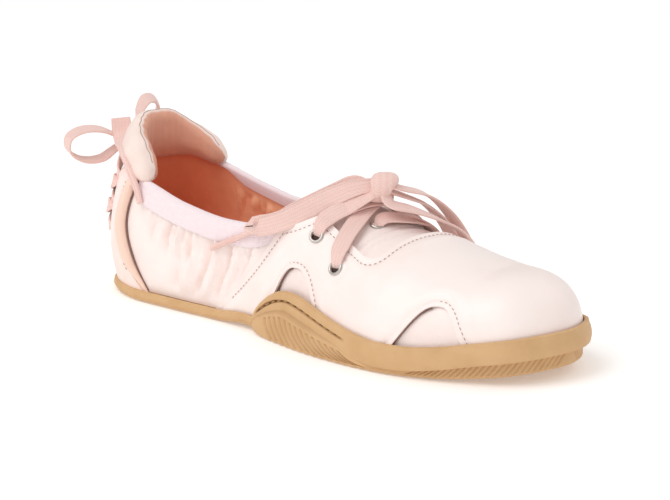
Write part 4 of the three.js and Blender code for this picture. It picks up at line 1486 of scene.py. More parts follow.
@dataclass
class Laces:
    """The front and heel laces: through the eyelets, knotted, with their loops and ends."""

    bench: Bench
    pattern: Pattern
    heel_width: float = 6.6
    knot: tuple = (143.0, 1.0, 10.8)
    knot_axis: tuple = (0.75, 0.66, 0.0)
    knot_size: tuple = (6.0, 5.8, 6.6)
    heel_knot: tuple = (-1.4, 0.0, 63.0)
    heel_knot_axis: tuple = (0.05, 1.0, 0.1)
    heel_knot_size: tuple = (5.2, 4.8, 5.9)
    near_loop: tuple = (
        (144.5, -1.6, 66.4), (139.2, -7.6, 65.2), (132.2, -13.4, 61.5), (124.4, -19.9, 56.4),
        (117.0, -26.6, 51.4), (110.0, -30.6, 48.4), (103.6, -32.8, 46.6),
    )
    near_loop_facing: tuple = (0.5, -0.72, 0.4)
    near_loop_behind: tuple = (0.6, -0.75, -0.15)
    near_loop_gap: float = 3.0
    end_follows: tuple = (1, 5)
    outer_heel_loop: tuple = (
        (-2.4, -2.6, 64.4), (-4.0, -7.5, 66.0), (-7.0, -15.0, 69.5), (-10.5, -23.0, 70.0),
        (-13.0, -28.5, 67.0), (-13.0, -29.0, 61.5), (-10.5, -23.5, 57.0), (-7.0, -15.0, 56.5),
        (-4.5, -7.5, 60.5), (-2.6, -2.6, 61.8),
    )
    outer_heel_across: tuple = (-0.9, 0.38, 0.2)
    inner_heel_loop: tuple = (
        (-2.2, 2.6, 64.2), (-3.4, 5.0, 69.5), (-4.5, 8.0, 75.5), (-5.5, 13.0, 79.0),
        (-6.0, 18.5, 78.0), (-6.5, 21.5, 72.5), (-6.0, 18.0, 66.5), (-5.0, 12.0, 62.5),
        (-3.6, 7.0, 61.0), (-2.6, 2.6, 61.6),
    )
    inner_heel_across: tuple = (-0.8, 0.5, 0.35)
    cross_lift: float = 1.2
    cross_stack: float = 1.5
    cross_crown: float = 0.3
    eyelet_dive: tuple = ((0.0, 0.1, -1.2), (0.1, -0.5, 1.1), (0.5, -3.0, 3.0))
    front_flap: tuple = (2.0, -8.0, 2.5)
    rear_flap: tuple = (1.2, -6.0, 2.5)
    rise_start: tuple = (2.5, 0.62, 0.4)
    rise_middle: tuple = (0.55, 0.4, 3.8)
    rise_end: tuple = (0.85, 4.5, 3.0)
    bar_run: tuple = ((-0.2, -0.4, -3.6), (0.0, 0.5, -1.2), (0.8, 3.2, 0.6), (4.6, 8.5, 1.2))
    bar_tuck: tuple = ((7.5, 17.0, 0.2, 1.5), (9.5, 22.5, -2.6, 1.0))
    bar_fan: float = 2.5
    slit_depth: float = 0.6
    slit_step: float = 1.0
    heel_offset: float = 3.6
    heel_stack: float = 1.3
    heel_crown: float = 0.6
    heel_rise: float = 2.0
    heel_rise_end: tuple = (-1.5, 4.5, -5.5)

    def build(self) -> None:
        """Makes both laces."""
        self.ribbon = Ribbon(self.bench)
        self.heel_ribbon = Ribbon(self.bench, width=self.heel_width)
        self.bows()
        self.front_crossings()
        self.heel_crossings()

    def routes(self) -> dict[str, list[Stop]]:
        """Runs of the loops and ends, by node."""
        over = self.bench.last.over
        outer = partial(self.bench.last.beside, Side.LATERAL)
        inner = partial(self.bench.last.beside, Side.MEDIAL)
        hub = over(*self.knot)

        def tied(*move: float) -> Spot:
            """A point in the front knot, by its way from the knot's middle."""
            return Spot(hub.at + np.array(move), hub.normal)

        def free(at: Sequence[float], *facing: float) -> Spot:
            """A point of its own and the way that the lace faces there."""
            return Spot(np.array(at), np.array(facing))

        facing = unit(np.array(self.near_loop_facing))
        behind = -self.near_loop_gap * unit(np.array(self.near_loop_behind))
        band = [free(p, *facing) for p in self.near_loop]
        back = [free(s.at + behind, *facing) for s in band]
        follows = [free(s.at + behind, *facing) for s in back[slice(*self.end_follows)]]
        return {
            "front_loop_lateral": folded([*band, *reversed(back)]),
            "front_loop_medial": folded([
                tied(2.4, 2.0, 1.5), over(149, 5, 12.5), over(154, 14, 12), over(159, 22, 10.6),
                over(163, 29, 9), inner(167, 25, 7.4), inner(166, 25.5, 4.6), over(161.5, 28.5, 5),
                over(157.5, 22.5, 7), over(153, 15.5, 8), over(150, 8.5, 8.5), tied(2.4, 2.0, -1.5),
            ]),
            "heel_loop_lateral": standing(self.outer_heel_loop, self.outer_heel_across),
            "heel_loop_medial": standing(self.inner_heel_loop, self.inner_heel_across),
            "front_end_lateral": lying([
                tied(-2.0, -1.5, -2.6), *follows, free((107.0, -24.8, 49.0), 0.0, -0.6, 0.8),
                outer(100.6, 44.5, 3.6), outer(92, 40.2, 3), outer(83, 36, 2.8), outer(75, 32, 2.6),
            ]),
            "front_end_medial": lying([
                tied(2.4, -0.8, -1.6), over(151.5, -1.5, 8), over(158, 5, 6.5), over(165, 14, 4.8),
                over(171, 23, 4), inner(176, 26, 3.6), inner(178.5, 20, 3.6),
            ]),
            "heel_end_lateral": lying([
                free((-1.6, -7.4, 74.5), 0.6, -0.75, 0.25), free((-1.0, -7.6, 71.5), 0.6, -0.75, 0.25),
                free((0.6, -8.6, 67.6), 0.55, -0.8, 0.2), free(outer(11, 64.5, 3.4).at, 0.4, -0.9, 0.2),
                outer(17, 61, 3.4), outer(24, 56.5, 3.4), outer(29, 51, 3.2), outer(32.5, 45, 3),
            ]),
            "heel_end_medial": lying([
                free((-3.2, 1.6, 60.4), -1.0, 0.2, 0.0), free((-7.0, 3.5, 57.0), -1.0, 0.2, 0.0),
                inner(2.2, 48, 7.4), inner(2.3, 38, 7.2), inner(2.4, 28, 7), inner(2.5, 18, 6.6),
                inner(2.5, 10, 6.4),
            ]),
        }

    def bows(self) -> None:
        """Makes knots, loops and ends, with taped tips on the ends."""
        middle, heel_middle = self.bench.last.over(*self.knot).at, np.array(self.heel_knot)
        knots = {
            "front": self.ribbon.knot("front_lace_knot", middle, self.knot_axis, self.knot_size),
            "heel": self.heel_ribbon.knot(
                "heel_lace_knot", heel_middle, self.heel_knot_axis, self.heel_knot_size
            ),
        }
        for node, stops in self.routes().items():
            where, part, side = node.split("_")
            ribbon = self.ribbon if where == "front" else self.heel_ribbon
            tail = END_WIDTH if where == "front" else HEEL_END_WIDTH
            loop = part == "loop"
            widths = (LOOP_WIDTH, EVEN) if loop else (tail, END_BULK)
            piece, path = ribbon.sweep(f"{node}_lace", stops, *widths)
            self.bench.dress(piece, Finish.LACE, Slot.LACE, [node], SOFT_ANGLE)
            if loop:
                extra = [knots[where]] if side == Side.LATERAL.word else []
            else:
                extra = [ribbon.tip(f"{node}_tip", path)]
            row = self.bench.place(path)
            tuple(row[0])
            run_length(row)[-1]
            ribbon.width * MM

    @staticmethod
    def strap(ribbon: Ribbon, name: str, spots: Sequence[Spot], width: Track) -> Piece:
        """One run of lace across the shoe."""
        return ribbon.sweep(name, lying(spots), width, EVEN)[0]

    def joined(self, straps: Sequence[Piece], name: str, node: str) -> None:
        """Joins the runs of one lace into the piece that stands for its node."""
        lace = self.bench.join(straps, name)
        self.bench.dress(lace, Finish.LACE, Slot.LACE, [node], SOFT_ANGLE)

    def front_crossings(self) -> None:
        """Runs the front lace through its eyelets and up to the knot."""
        straps = []
        for k, side in enumerate(Side):
            runs = (self.cross, self.rise, self.bar)
            straps += [run(k, side.value) for run in runs]
        self.joined(straps, "front_lace_through_eyelets", "front_lace_crossings")

    def cross(self, k: int, sign: int) -> Piece:
        """One strap from a front eyelet to the rear eyelet of the other side.

        Args:
            k: 0 for the strap from the outer side, which lies below, and 1 for the other.
            sign: sign of Y on the side that it comes from.

        Returns:
            The strap.
        """
        over = self.bench.last.over
        (_, rear, *rear_y), (_, front, *front_y) = self.pattern.eyelets
        mine, other, middle = abs(front_y[k]), abs(rear_y[1 - k]), (rear + front) / 2.0
        lift = self.cross_lift + self.cross_stack * k
        out = (*self.eyelet_dive, self.front_flap)
        back = (self.rear_flap, *reversed(self.eyelet_dive))
        return self.strap(self.ribbon, f"cross_{k}", [
            *(over(front - x, sign * (mine + y), z) for x, y, z in out),
            over((front + middle) / 2.0, sign * mine / 2.0, lift),
            over(middle, 0.0, lift + self.cross_crown),
            over((middle + rear) / 2.0, -sign * other / 2.0, lift),
            *(over(rear + x, -sign * (other + y), z) for x, y, z in back),
        ], EYELET_WIDTH)

    def rise(self, k: int, sign: int) -> Piece:
        """One strap from a rear eyelet up to the knot, by its number and the sign of its side."""
        over = self.bench.last.over
        _, rear, *sides = self.pattern.eyelets[0]
        (x, y, height), reach = self.knot, sign * abs(sides[k])
        ahead, share, lift = self.rise_start
        spots = [over(rear + ahead, reach * share, lift)]
        ahead, share, lift = self.rise_middle
        spots.append(over(blend(rear, x, ahead), reach * share, lift))
        ahead, spread, below = self.rise_end
        spots.append(over(blend(rear, x, ahead), y + sign * spread, height - below))
        return self.strap(self.ribbon, f"rise_{k}", [*spots, over(*self.knot)], KNOT_WIDTH)

    def bar(self, k: int, sign: int) -> Piece:
        """One strap from a tongue eyelet to under the inner flap, by its number and side."""
        over, fan = self.bench.last.over, self.bar_fan * k
        x, spread = self.pattern.tongue_eyelets
        run = [over(x + dx, sign * spread + dy, lift) for dx, dy, lift in self.bar_run]
        tuck = [over(x + dx + fan, y + step * k, lift) for dx, y, lift, step in self.bar_tuck]
        return self.strap(self.ribbon, f"tongue_{k}", run + tuck, EYELET_WIDTH)

    def heel_crossings(self) -> None:
        """Runs the heel lace through its slits and up to the knot."""
        slit, heights = self.pattern.slit, self.pattern.slits
        straps = []
        for i, (low, high) in enumerate(zip(heights, heights[1:])):
            for k, (side, far) in enumerate((tuple(Side), tuple(Side)[::-1])):
                offset = self.heel_offset + self.heel_stack * k
                back = self.bench.last.wall(0.0, (low + high) / 2.0, offset + self.heel_crown)
                straps.append(self.strap(self.heel_ribbon, f"heel_cross_{i}_{k}", [
                    slit(side, low, self.slit_depth),
                    slit(side, low + self.slit_step, offset),
                    Spot(back, BACKWARDS),
                    slit(far, high - self.slit_step, offset),
                    slit(far, high, self.slit_depth),
                ], EYELET_WIDTH))
        x, y, z = self.heel_rise_end
        for k, side in enumerate(Side):
            straps.append(self.strap(self.heel_ribbon, f"heel_rise_{k}", [
                slit(side, heights[-1], self.slit_depth),
                slit(side, heights[-1] + self.heel_rise, self.heel_offset),
                Spot(np.array(self.heel_knot) + (x, side.value * y, z), BACKWARDS),
            ], KNOT_WIDTH))
        self.joined(straps, "heel_lace_through_slits", "heel_lace_crossings")


class Ribs(NamedTuple):
    """A row of ribs on the side of the tread, swept along the sole at their feet."""

    start: float
    end: float
    count: int
    sweep: float
    spread: float
    power: float
    share: float
    depth: float


@dataclass
class Outsole:
    """One moulded gum unit with ribbed wings, a rim and a recessed tread."""

    last: Last
    clearance: float = 1.9
    lip: float = 1.5
    bevel: float = 1.2
    bevel_angles: tuple = (0.0, 22.0, 45.0, 68.0)
    chamfer: float = 0.9
    ledge: float = 0.3
    # Painted shade in the rib grooves and on the row under a proud tread's ledge.
    groove_shade: float = 0.2
    ledge_shade: float = 0.22
    channel: tuple = (104.5, 166.0)
    channel_ends: tuple = (2.0, 6.0)
    channel_place: float = 0.6
    channel_half: tuple = (0.22, 0.085)
    channel_narrows: tuple = (106.0, 127.0)
    channel_depth: float = 1.0
    channel_power: float = 0.6
    stitch: tuple = (4.6, 3.1, 0.42)
    stitch_rest: float = 3.0
    stitch_steps: int = 120
    stitch_depth: float = 0.25
    wings: Ribs = Ribs(111.5, 165.0, 15, 4.0, 0.193, 1.6, 0.86, 1.0)
    toe: Ribs = Ribs(196.0, 248.0, 26, -4.5, 0.0, 1.0, 0.85, 0.55)
    rib_border: float = 2.6
    rib_power: float = 1.6
    rib_fade: float = 0.08
    rows: tuple = (
        (-6.0, 5.0, 1.6, 3.5, 3.1), (101.0, 5.0, 1.6, 3.5, 3.1), (104.0, 9.5, 5.0, 4.4, 5.0),
        (108.0, 14.0, 8.0, 4.8, 6.2), (113.0, 18.2, 10.8, 5.0, 6.6), (120.0, 21.6, 13.4, 5.0, 6.8),
        (127.0, 22.8, 14.8, 5.0, 6.8), (134.0, 22.2, 13.6, 5.0, 6.8), (145.0, 19.6, 11.2, 4.8, 6.2),
        (157.0, 16.6, 8.2, 4.5, 5.2), (169.0, 14.4, 4.8, 4.3, 4.2), (181.0, 13.0, 2.6, 4.2, 3.2),
        (193.0, 13.0, 2.9, 4.2, 2.4), (205.0, 13.8, 4.2, 4.2, 1.8), (223.0, 15.8, 6.4, 4.2, 1.2),
        (238.0, 16.4, 7.0, 4.2, 1.0), (252.0, 16.2, 7.0, 4.0, 0.8),
    )
    tread_belly: float = 0.5
    tread_belly_from: tuple = (3.0, 6.0)
    band_belly: tuple = (0.35, 0.8)
    band_belly_from: tuple = (190.0, 230.0)
    shoulder_rise: float = 0.62
    shoulder_lean: float = 0.14
    shoulder_rounds: tuple = (0.4, 0.55)
    treads: tuple = (
        ((18.0, -17.0), (70.0, -20.0), (70.0, 20.0), (18.0, 17.0)),
        ((121.0, -27.0), (180.0, -32.0), (180.0, 30.0), (121.0, 21.0)),
    )
    tread_top: float = 1.5
    bottom_rows: int = 6
    wall_rows: int = 14
    band_rows: int = 22
    columns: tuple = (0.0, 44, 0.5, 100)
    box_steps: int = 2001

    def __post_init__(self) -> None:
        """Works out the side's curves."""
        self.rim, self.step, self.flare, self.tread = (Track(self.rows, k) for k in (1, 2, 3, 4))

    def ribs(self, turn: Array, share: float) -> Array:
        """Depth of the grooves between the ribs.

        Args:
            turn: turns of the columns.
            share: share of the tread's height.

        Returns:
            One depth for each column.
        """
        depth = np.zeros_like(turn)
        for ribs in (self.wings, self.toe):
            for side in Side:
                first, final = self.last.turn_at(np.array((ribs.start, ribs.end)), side)
                size = abs(final - first) * self.last.half_length
                moved = (1.0 - share) ** ribs.power
                along = (turn - first) / (final - first) * size
                along = (along - ribs.sweep * moved) / (1.0 + ribs.spread * moved)
                groove = (0.5 + 0.5 * np.cos(FULL_TURN * along * ribs.count / size)) ** self.rib_power
                ends = ease(along, 0.0, self.rib_border)
                ends = ends * (1.0 - ease(along, size - self.rib_border, size))
                top = 1.0 - ease(share, ribs.share, ribs.share + self.rib_fade)
                depth = depth + ribs.depth * groove * ends * top
        return depth

    def band(self, turn: Array) -> tuple[Array, Array, Array]:
        """Foot and top of the rim's band, and how far the tread stands proud of it."""
        foot, out = self.last.foot(turn)
        x = foot[:, 0]
        low = self.last.sole_bottom(x)
        rim, step = low + self.rim(x), low + self.step(x)
        proud = ease(self.tread(x) - self.flare(x), 0.0, 1.0)
        inset = self.flare(x) - self.ledge * proud
        start = np.concatenate([foot + out * inset[:, None], step[:, None]], axis=1)
        lip_z = np.maximum(rim - self.lip, step + self.last.gap)
        end = self.last.wall(turn, lip_z, self.clearance + self.lip + self.last.gap)
        return start, end, proud

    def surface(self, turn: Array) -> tuple[Array, Array]:
        """Every point of the sole's skin.

        Args:
            turn: turns of the columns.

        Returns:
            The points, by column and row, and how much painted shade darkens the gum at each.
        """
        last = self.last
        foot, out, spine, _, _ = last.section(turn)
        x = foot[:, 0]
        low = last.sole_bottom(x)
        rim, step, tread = low + self.rim(x), low + self.step(x), self.tread(x)
        start, end, proud = self.band(turn)
        rows: list[Array] = []
        shades: list[Array] = []

        def add(points: Array, shade: Array | float = 0.0) -> None:
            """Adds a row of points and their shade."""
            rows.append(points)
            shades.append(np.broadcast_to(shade, x.shape))

        def stand(offset: Array, z: Array) -> Array:
            """Points at a distance out from the sole line."""
            return np.concatenate([foot + out * offset[:, None], z[:, None]], axis=1)

        def along_spine(height: Callable[[Array], Array]) -> Array:
            """Points under the ridge, at a height that depends on X."""
            return np.stack([spine[:, 0], spine[:, 1], height(spine[:, 0])], axis=1)

        under = along_spine(last.sole_bottom)
        for k in range(self.bottom_rows):
            add(blend(under, stand(tread - self.bevel, low), k / self.bottom_rows))
        for angle in np.radians(self.bevel_angles):
            inset = self.bevel * (1.0 - np.sin(angle)) + self.ribs(turn, 0.0) * np.sin(angle)
            add(stand(tread - inset, low + self.bevel * (1.0 - np.cos(angle))))
        ceiling = np.maximum(step - last.gap - self.chamfer * proud, low + self.bevel)
        swell = self.tread_belly * ease(tread, *self.tread_belly_from)
        for share in np.linspace(0.0, 1.0, self.wall_rows + 1):
            depth = self.ribs(turn, share)
            offset = tread + swell * np.sin(np.pi * share) - depth
            add(stand(offset, blend(low + self.bevel, ceiling, share)), depth * self.groove_shade)
        first, final = self.channel
        inside = ease(x, first, first + self.channel_ends[0])
        inside = inside * (1.0 - ease(x, final - self.channel_ends[1], final))
        half = blend(*self.channel_half, ease(x, *self.channel_narrows))
        swell = blend(*self.band_belly, ease(x, *self.band_belly_from))
        side = level(out)
        for share in np.linspace(0.0, 1.0, self.band_rows + 1):
            # Painted shade: darkest in the stitch channel's groove, and on the first row where the tread
            # stands proud.
            groove = hump(share, self.channel_place, half) ** self.channel_power * inside
            moved = swell * np.sin(np.pi * share) - self.channel_depth * groove
            shade = groove + self.ledge_shade * proud * (share == 0.0)
            add(blend(start, end, share) + side * moved[:, None], np.clip(shade, 0.0, 1.0))
        crest = last.wall(turn, rim, self.clearance + self.lip / 2.0)
        shoulder = end + UP * ((rim - end[:, 2]) * self.shoulder_rise)[:, None]
        shoulder = blend(shoulder, crest, self.shoulder_lean)
        lower, upper = self.shoulder_rounds
        for points in (blend(shoulder, end, lower), shoulder, blend(shoulder, crest, upper), crest):
            add(points)
        add(last.wall(turn, rim - last.gap, self.clearance))
        add(last.wall(turn, last.slab_top(x), self.clearance))
        add(along_spine(last.slab_top))
        return np.stack(rows, axis=1), np.stack(shades, axis=1)

    def shift(self) -> Array:
        """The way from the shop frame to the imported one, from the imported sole's box."""
        points = self.surface(np.linspace(0.0, 2.0, self.box_steps))[0].reshape(-1, 3)
        low, high = (np.array(corner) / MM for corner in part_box("outsole"))
        mine = (points.min(axis=0) + points.max(axis=0)) / 2.0
        return np.append(((low + high) / 2.0 - mine)[:2], 0.0)

    def build(self, bench: Bench) -> None:
        """Makes the sole, its treads and the stitches in its channel."""
        turn = self.last.columns(*self.columns)
        points, shade = self.surface(turn)
        along = turn[:, None] * self.last.half_length
        uv = np.stack(np.broadcast_arrays(along, run_lengths(points)), axis=-1) / CM
        piece = bench.grid("gum_outsole", points, uv)
        bench.edit(piece, SELECT_ALL, FACE_OUT)
        bench.mark(piece, bench.place(points), shade)
        pieces = [piece]
        for k, corners in enumerate(self.treads):
            levels = [[(x, y, z) for x, y in corners] for z in (0.0, self.tread_top)]
            pieces.append(bench.tube(f"tread_{k}", np.array(levels)))
        sole = bench.join(pieces, "gum_outsole")
        bench.dress(sole, Finish.GUM, Slot.GUM, ["outsole"], SOLE_ANGLE)
        self.channel_stitches(bench)

    def channel_stitches(self, bench: Bench) -> None:
        """Lays the thread in the stitch channel."""
        first, final = self.channel
        x = np.linspace(first + self.stitch_rest, final - self.stitch_rest, self.stitch_steps)
        for side in Side:
            turn = self.last.turn_at(x, side)
            start, end, _ = self.band(turn)
            normal = level(self.last.foot(turn)[1])
            line = Spot(blend(start, end, self.channel_place) - normal * self.stitch_depth, normal)
            name = f"sole_stitches_{side.word}"
            Stitching(bench, *self.stitch).sew(name, [line], Finish.SOLE_THREAD, Slot.GUM)


@dataclass
class Stitching:
    """A row of stitches, modelled once and copied along a line."""

    bench: Bench
    pitch: float = 2.3
    length: float = 1.4
    radius: float = 0.19
    flatness: float = 0.8
    segments: int = 7
    rings: int = 5

    def sew(self, name: str, lines: Sequence[Spot], finish: Finish, slot: Slot) -> Piece:
        """Sews stitches along lines.

        Args:
            name: the piece's name.
            lines: points along each line and the way the cloth faces there.
            finish: the thread's finish.
            slot: the record's material slot.

        Returns:
            The piece that holds every stitch.
        """
        bpy.ops.object.select_all(action="DESELECT")
        bpy.ops.mesh.primitive_uv_sphere_add(segments=self.segments, ring_count=self.rings, radius=1.0)
        piece = bpy.context.object
        piece.name = name
        body = np.array([v.co[:] for v in piece.data.vertices])
        faces = [tuple(p.vertices) for p in piece.data.polygons]
        wide, high, long = (body[:, k:k + 1] for k in range(3))
        wide, high = wide * self.radius, high * self.radius * self.flatness
        long = long * self.length / 2.0
        points: list[Array] = []
        polygons: list[tuple] = []
        for line in lines:
            length = run_length(line.at)
            places = np.arange(self.pitch / 2.0, length[-1], self.pitch)
            at = sample(line.at, length, places)
            up = unit(sample(line.normal, length, places))
            way = sample(np.gradient(line.at, axis=0), length, places)
            way = unit(way - up * np.sum(way * up, axis=1, keepdims=True))
            for p, u, w, s in zip(at, up, way, np.cross(up, way)):
                base = len(points) * len(body)
                points.append(p + w * long + s * wide + u * high)
                polygons += [tuple(base + v for v in face) for face in faces]
        mesh = bpy.data.meshes.new(name)
        mesh.from_pydata(self.bench.place(np.concatenate(points)).tolist(), [], polygons)
        mesh.uv_layers.new(name="UVMap")
        piece.data = mesh
        self.bench.edit(piece, SELECT_ALL, FACE_OUT)
        return self.bench.dress(piece, finish, slot, angle=ROUND_ANGLE)


@dataclass
class Edging:
    """Thin round line along an edge."""

    bench: Bench
    radius: float = 0.34
    sides: int = 8

    def lay(self, name: str, lines: Sequence[Spot], finish: Finish, slot: Slot) -> Piece:
        """Lays one line along each run of spots and joins them.

        Args:
            name: the piece's name.
            lines: points along each line and the way the cloth faces there.
            finish: its finish.
            slot: the record's material slot.

        Returns:
            The piece that holds every line.
        """
        angle = circle(self.sides)[None, :, None]
        made = []
        for k, line in enumerate(lines):
            ahead = unit(np.gradient(line.at, axis=0))
            side = unit(np.cross(line.normal, ahead))[:, None]
            ring = side * np.cos(angle) + line.normal[:, None] * np.sin(angle)
            made.append(self.bench.tube(f"{name}_{k}", line.at[:, None] + self.radius * ring))
        return self.bench.dress(self.bench.join(made, name), finish, slot, angle=ROUND_ANGLE)


@dataclass
class Insole:
    """Thin footbed inside the shoe."""

    bench: Bench
    inset: float = -2.2
    wall: float = 2.6
    height: float = 3.0
    dish: float = 0.54
    dish_rate: float = 9.0
    rows: int = 16
    columns: tuple = (0.0, 24, 2.0, 30)

    def top(self, x: Array) -> Array:
        """Height of the footbed's face."""
        return self.bench.last.slab_top(x) + self.bench.last.gap + self.height

    def build(self) -> None:
        """Makes the footbed."""
        last = self.bench.last
        turn = last.columns(*self.columns)
        foot, _, spine, _, _ = last.section(turn)
        edge = last.wall(turn, self.top(foot[:, 0]), self.inset)
        middle = np.stack([spine[:, 0], spine[:, 1], self.top(spine[:, 0])], axis=1)
        shares = np.linspace(0.0, 1.0, self.rows)
        points = np.stack([blend(edge, middle, s) for s in shares], axis=1)
        points[..., 2] -= self.dish * (1.0 - np.exp(-shares * self.dish_rate))
        piece = self.bench.grid("footbed", points, points[..., :2] / CM)
        self.bench.thicken(piece, self.wall)
        self.bench.dress(piece, Finish.FOOTBED, Slot.LINING, ["insole"])


class Crease(NamedTuple):
    """A soft fold of the quarter: where it runs, how deep and wide it is."""

    top: float
    foot: float
    depth: float
    half: float
    low: float
    high: float


@dataclass
class Upper:
    """Thin gathered nylon with its lining, open at collar, throat and underneath."""

    bench: Bench
    pattern: Pattern
    wall: float = 1.6
    rows: int = 78
    columns: tuple = (0.0, 30, 1.15, 40)
    gather_pitch: float = 5.4
    gather_depth: float = 0.8
    gather_reach: float = 7.5
    gather_drift: tuple = ((1.8, 0.21, 0.0), (1.1, 0.47, 1.0))
    gather_turn: float = 9.0
    elastic_drop: float = 8.5
    bound: tuple = (-1.6, 1.6)
    bound_share: float = 0.1
    heel_free: tuple = (31.0, 40.0)
    overlay_free: tuple = (-5.0, 0.5)
    foot_free: tuple = (1.0, 9.0)
    crease_sway: float = 1.4
    crease_bends: float = 5.0
    crease_fade: float = 0.12
    valley: float = 0.55
    valley_place: float = 0.9
    valley_half: float = 0.7
    creases: tuple = (
        Crease(41, 34, -1.2, 2.2, 0.55, 1.0), Crease(47, 40, 1.0, 2.6, 0.5, 1.0),
        Crease(52, 44, -1.4, 2.3, 0.48, 1.0), Crease(58, 50, 1.1, 2.7, 0.42, 1.0),
        Crease(63, 54, -1.5, 2.3, 0.4, 1.0), Crease(68, 60, -1.1, 1.9, 0.55, 1.0),
        Crease(50, 60, 1.3, 6.5, 0.15, 0.6), Crease(66, 50, -1.0, 5.5, 0.05, 0.5),
        Crease(74, 63, -1.6, 2.9, 0.0, 1.0), Crease(80, 69, 1.3, 3.2, 0.05, 1.0),
        Crease(86, 75, -1.7, 2.6, 0.0, 1.0), Crease(92, 80, 1.1, 3.0, 0.0, 0.95),
        Crease(98, 86, -1.3, 2.3, 0.0, 0.92),
    )

    def relief(self, points: Array, inside: Array, turn: Array) -> Array:
        """Creases and gathers of the quarter, away from the overlay and the heel.

        Args:
            points: points on the last.
            inside: their distance inside the upper's edge.
            turn: their turns.

        Returns:
            How far the cloth stands off the last at each point.
        """
        x, z = points[:, 0], points[:, 2]
        low, collar = self.bench.last.wall_foot(x), self.bench.last.collar(x)
        share = np.clip((z - low) / (collar - low), 0.0, 1.0)
        fade = self.crease_fade
        offset = np.zeros_like(x)
        for c in self.creases:
            line = blend(c.foot, c.top, share)
            line = line + self.crease_sway * np.sin(share * self.crease_bends + c.top)
            window = ease(share, c.low - fade, c.low + fade) * (1.0 - ease(share, c.high, c.high + fade))
            valley = hump(x, line + c.half * self.valley_place, c.half * self.valley_half)
            offset += c.depth * (hump(x, line, c.half) - self.valley * valley) * window
        phase = x + ripple(x, self.gather_drift) + turn * self.gather_turn
        below = collar - z - self.elastic_drop
        near = np.exp(-np.maximum(below, 0.0) / self.gather_reach)
        offset += self.gather_depth * np.sin(FULL_TURN * phase / self.gather_pitch) * near
        free = ease(x, *self.heel_free)
        free = free * (1.0 - ease(self.pattern.rear_line(points), *self.overlay_free))
        bound = blend(self.bound_share, 1.0, ease(below, *self.bound))
        return offset * free * bound * ease(z - low, *self.foot_free)

    def build(self) -> None:
        """Makes the upper."""
        turns = self.bench.last.columns(*self.columns)
        shares = np.linspace(0.0, 1.0, self.rows)
        piece = self.bench.drape("nylon_upper", turns, shares, self.pattern.opening, self.relief)
        self.bench.paint(piece, Finish.NYLON, Finish.LINING)
        self.bench.thicken(piece, self.wall, inner=1)
        self.bench.dress(piece, Finish.NYLON, Slot.NYLON, ["upper"])


